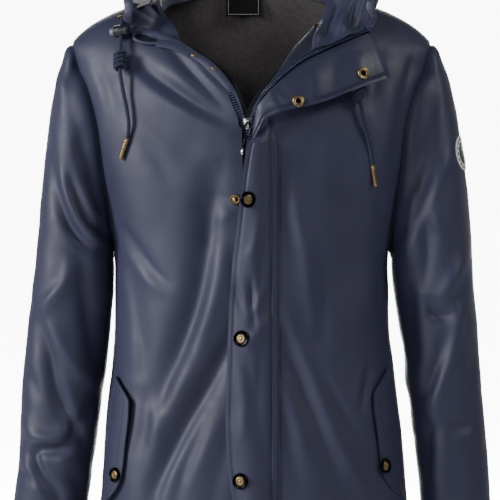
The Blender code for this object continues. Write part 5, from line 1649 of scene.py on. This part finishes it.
def right_hood_front():
    strip = [on_body(-0.1640, -0.0600, 0.003), on_body(-0.1625, -0.0520, 0.006), (-0.1605, -0.0760, -0.0300),
             (-0.1625, -0.0700, -0.0100), (-0.1680, -0.0600, 0.0120)]
    path = smooth_path(strip, 60)
    vertices, faces, _ = oval_tube(path, np.tile([1.0, -0.35, 0.1], (61, 1)), 0.0125, 0.0050, 20, 0.10)
    hem = new_object("right_front_casing", vertices, faces, NAVY)
    done(hem, "torso", slot="coated_navy")
    outer = [on_body(-0.1590, -0.0580, 0.002), on_body(-0.1570, -0.0480, 0.004), (-0.1560, -0.0700, -0.0290),
             (-0.1580, -0.0640, -0.0160)]
    inner = [on_body(-0.0940, -0.0690, -0.008), (-0.0975, -0.0640, -0.0560), (-0.1080, -0.0500, -0.0380),
             (-0.1200, -0.0400, -0.0190)]
    grid = loft(outer, inner, 44, 40, (0, 0.008, 0))
    normals = grid_normals(grid, toward(0.5, -1, 0.3))
    grid = grid + normals * (ripple(grid, 0.035, 0.0020, 94))[..., None]
    panel = cloth("right_neck_panel", grid, NAVY_INSIDE, toward(0.5, -1, 0.3), 0.0016)
    done(panel, "torso", slot="coated_navy")
    outer = [(-0.1580, -0.0655, -0.0175), (-0.1600, -0.0580, 0.0000), (-0.1660, -0.0460, 0.0200)]
    inner = [(-0.1190, -0.0400, -0.0190), (-0.1215, -0.0260, 0.0000), (-0.1280, -0.0080, 0.0200)]
    grid = loft(outer, inner, 36, 36, (0, 0.012, 0))
    normals = grid_normals(grid, toward(0.5, -1, 0.3))
    grid = grid + normals * (ripple(grid, 0.03, 0.0022, 95))[..., None]
    jersey_piece = cloth("right_hood_inside", grid, GREY_JERSEY, toward(0.5, -1, 0.3), 0.0014)
    done(jersey_piece, "torso", slot="charcoal_lining")


left_hood_front()
right_hood_front()


def neck_facing():
    marks = np.linspace(0.07, 0.93, 90)
    seam = SEAM_LINE[(marks * HOOD_PLACES).astype(int)]
    middle = 1 - np.abs(marks - 0.5) / 0.43
    rows = []
    for t in np.linspace(0, 1, 9):
        drop = 0.002 + t * 0.016
        scale = 0.95 - 0.06 * t - 0.02 * t * middle
        rows.append(np.stack([seam[:, 0] * scale, seam[:, 1] * scale - 0.002, seam[:, 2] - drop], axis=1))
    grid = np.array(rows)
    outward = lambda g: -from_axis(g)
    normals = grid_normals(grid, outward)
    grid = grid + normals * ripple(grid, 0.04, 0.0008, 96)[..., None]
    facing_cloth = cloth("neck_facing_cloth", grid, NAVY_INSIDE, outward, 0.0014)
    done(facing_cloth, "torso", "neck_facing", slot="coated_navy")


def neck_label():
    place = np.array([-0.0110, 0.0620, -0.0070])
    columns, rows = np.linspace(-0.5, 0.5, 20), np.linspace(-0.5, 0.5, 14)
    x, z = np.meshgrid(columns * 0.047, rows * 0.030)
    grid = place + np.stack([x, 0.0003 * np.sin(x * 180), z], axis=-1)
    label = cloth("neck_label_patch", grid, LABEL, toward(0, -1, 0), 0.0008)
    done(label, "torso", "neck_label", slot="woven_label")
    border = []
    for dx, dz, w, h in ((0, 0.0125, 0.041, 0.0006), (0, -0.0125, 0.041, 0.0006), (-0.0205, 0, 0.0006, 0.025),
                         (0.0205, 0, 0.0006, 0.025)):
        border.append(rounded_box_mesh((w, 0.0004, h), place + np.array([dx, -0.0008, dz]), None, 0.3))
    vertices, faces = join_meshes(border)
    done(new_object("neck_label_border", vertices, faces, GREY_JERSEY), "torso")


def hanger_loop():
    route = [(-0.034, 0.030), (-0.031, 0.013), (-0.024, 0.0105), (0.024, 0.0105), (0.031, 0.013), (0.034, 0.030)]
    path = smooth_path([(x, 0.0, z) for x, z in route], 60)
    rows = [path + np.array([0, y + 0.022, 0]) for y in np.linspace(0.0340, 0.0442, 5)]
    grid = np.stack(rows, axis=1)
    loop = cloth("hanger_loop_strip", grid, NAVY_INSIDE, toward(0, 0, -1), 0.0018)
    done(loop, "torso", "hanger_loop", slot="coated_navy")


neck_facing()
neck_label()
hanger_loop()


# ---------------------------------------------------------------------------------------------
# Badge on the left sleeve: a plain round patch that follows the cloth
# ---------------------------------------------------------------------------------------------
def make_badge():
    grid, _ = SLEEVES["left"]
    rows, columns = grid.shape[:2]
    cells = [(r * columns + c, r * columns + (c + 1) % columns, (r + 1) * columns + (c + 1) % columns,
              (r + 1) * columns + c) for r in range(rows - 1) for c in range(columns)]
    tree = BVHTree.FromPolygons([Vector(p) for p in grid.reshape(-1, 3)], cells)
    centre = np.array([0.2790, -0.0300, -0.2130])
    out = unit(np.array([0.92, -0.38, 0.08]))
    across = unit(np.cross([0, 0, 1.0], out))
    up = np.cross(out, across)

    def drape(local, lift):
        place = centre + across * local[0] + up * local[1] + out * 0.05
        spot, _, _, _ = tree.ray_cast(Vector(place), Vector(-out), 0.12)
        return np.array(spot) + out * lift

    def patch(name, inner, outer, low, high, material, slot=None, node=None, start=0.0, sweep=2 * math.pi,
              steps=72):
        closed = sweep > 6.28
        turn = start + np.linspace(0, sweep, steps + (0 if closed else 1), endpoint=not closed)
        edge = 0.0005
        profile = [(inner, low), (inner, high - edge / 2), (inner + edge, high), ((inner + outer) / 2, high),
                   (outer - edge, high), (outer, high - edge / 2), (outer, low)]
        loops = [[drape((r * math.cos(a), r * math.sin(a)), h) for a in turn] for r, h in profile]
        vertices = np.array(loops).reshape(-1, 3)
        count, faces = len(turn), []
        for r in range(len(profile)):
            m = (r + 1) % len(profile)
            for c in range(count if closed else count - 1):
                n = (c + 1) % count
                faces.append((m * count + c, m * count + n, r * count + n, r * count + c))
        if not closed:
            faces.append(tuple(r * count for r in range(len(profile))))
            faces.append(tuple(r * count + count - 1 for r in range(len(profile)))[::-1])
        thing = new_object(name, vertices, faces, material)
        done(thing, "left_arm", *([node] if node else []), slot=slot)

    patch("badge_rim", 0.0150, 0.0235, 0.0002, 0.0018, RUBBER_WHITE, "badge_rubber", "sleeve_badge")
    patch("badge_field", 0.0008, 0.0149, 0.0002, 0.0014, RUBBER_BLACK)
    for i in range(16):
        patch("badge_dash_%d" % i, 0.0180, 0.0208, 0.0016, 0.0021, RUBBER_BLACK, start=i * math.pi / 8,
              sweep=0.22, steps=4)
    for i, (reach, width) in enumerate(((0.0100, 0.40), (0.0060, 0.55))):
        patch("badge_bar_%d" % i, reach - 0.0016, reach, 0.0012, 0.0019, RUBBER_WHITE, start=math.pi / 2 - width,
              sweep=2 * width, steps=10)


make_badge()


# ---------------------------------------------------------------------------------------------
# Stage and lights
# ---------------------------------------------------------------------------------------------
def make_stage():
    """Pale floor, a pale wall behind it, and the wall's bright middle."""
    sweep = [(6.4, -1.60), (6.85, -1.50), (7.0, -1.2), (7.0, 5.0)]
    for name, profile, left, right, glow in (
            ("studio_floor", [(-8.0, -1.60), (-3.0, -1.60), (2.0, -1.60), (6.4, -1.60)], -9.0, 9.0, 0.0),
            ("studio_wall_left", sweep, -9.0, -2.6, 0.30),
            ("studio_wall_middle", sweep, -2.6, 2.6, 9.0),
            ("studio_wall_right", sweep, 2.6, 9.0, 0.30)):
        path = smooth_path([(0.0, y, z) for y, z in profile], 60)
        grid = np.stack([path + np.array([x, 0, 0]) for x in np.linspace(left, right, 7)], axis=1)
        shader = Shader(name, 0.9, Specular_IOR_Level=0.1)
        shader.colour(shader.noise(0.6, 1.0), [(0.3, srgb(226, 226, 226)), (0.7, srgb(232, 232, 232))])
        shader.out.inputs["Emission Color"].default_value = (1, 1, 1, 1)
        shader.out.inputs["Emission Strength"].default_value = glow
        cloth(name, grid, shader.material, toward(0, -0.3, 1), 0.01)


def make_light(name, place, aim, size, power, colour=(1, 1, 1)):
    data = bpy.data.lights.new(name, "AREA")
    data.shape = "RECTANGLE"
    data.size, data.size_y = size
    data.energy = power
    data.color = colour
    light = bpy.data.objects.new(name, data)
    light.location = place
    way = Vector(aim) - Vector(place)
    light.rotation_euler = way.to_track_quat("-Z", "Y").to_euler()
    bpy.context.scene.collection.objects.link(light)


make_stage()
AIM = (0.0, -0.05, -0.35)
make_light("key", (-2.8, -1.4, 0.62), (-0.05, -0.05, -0.25), (0.8, 1.4), 112.0)
make_light("front_key", (-1.5, -3.1, 0.6), AIM, (0.7, 1.0), 24.0)
make_light("right_top", (2.2, -1.3, 1.5), (0.15, -0.05, -0.12), (0.8, 0.8), 33.0)
make_light("side_fill", (2.6, -1.1, 0.5), AIM, (0.7, 1.6), 1.5)
world = bpy.data.worlds.new("studio")
world.use_nodes = True
world.node_tree.nodes["Background"].inputs["Color"].default_value = (1.0, 1.0, 1.0, 1.0)
world.node_tree.nodes["Background"].inputs["Strength"].default_value = 0.10
bpy.context.scene.world = world
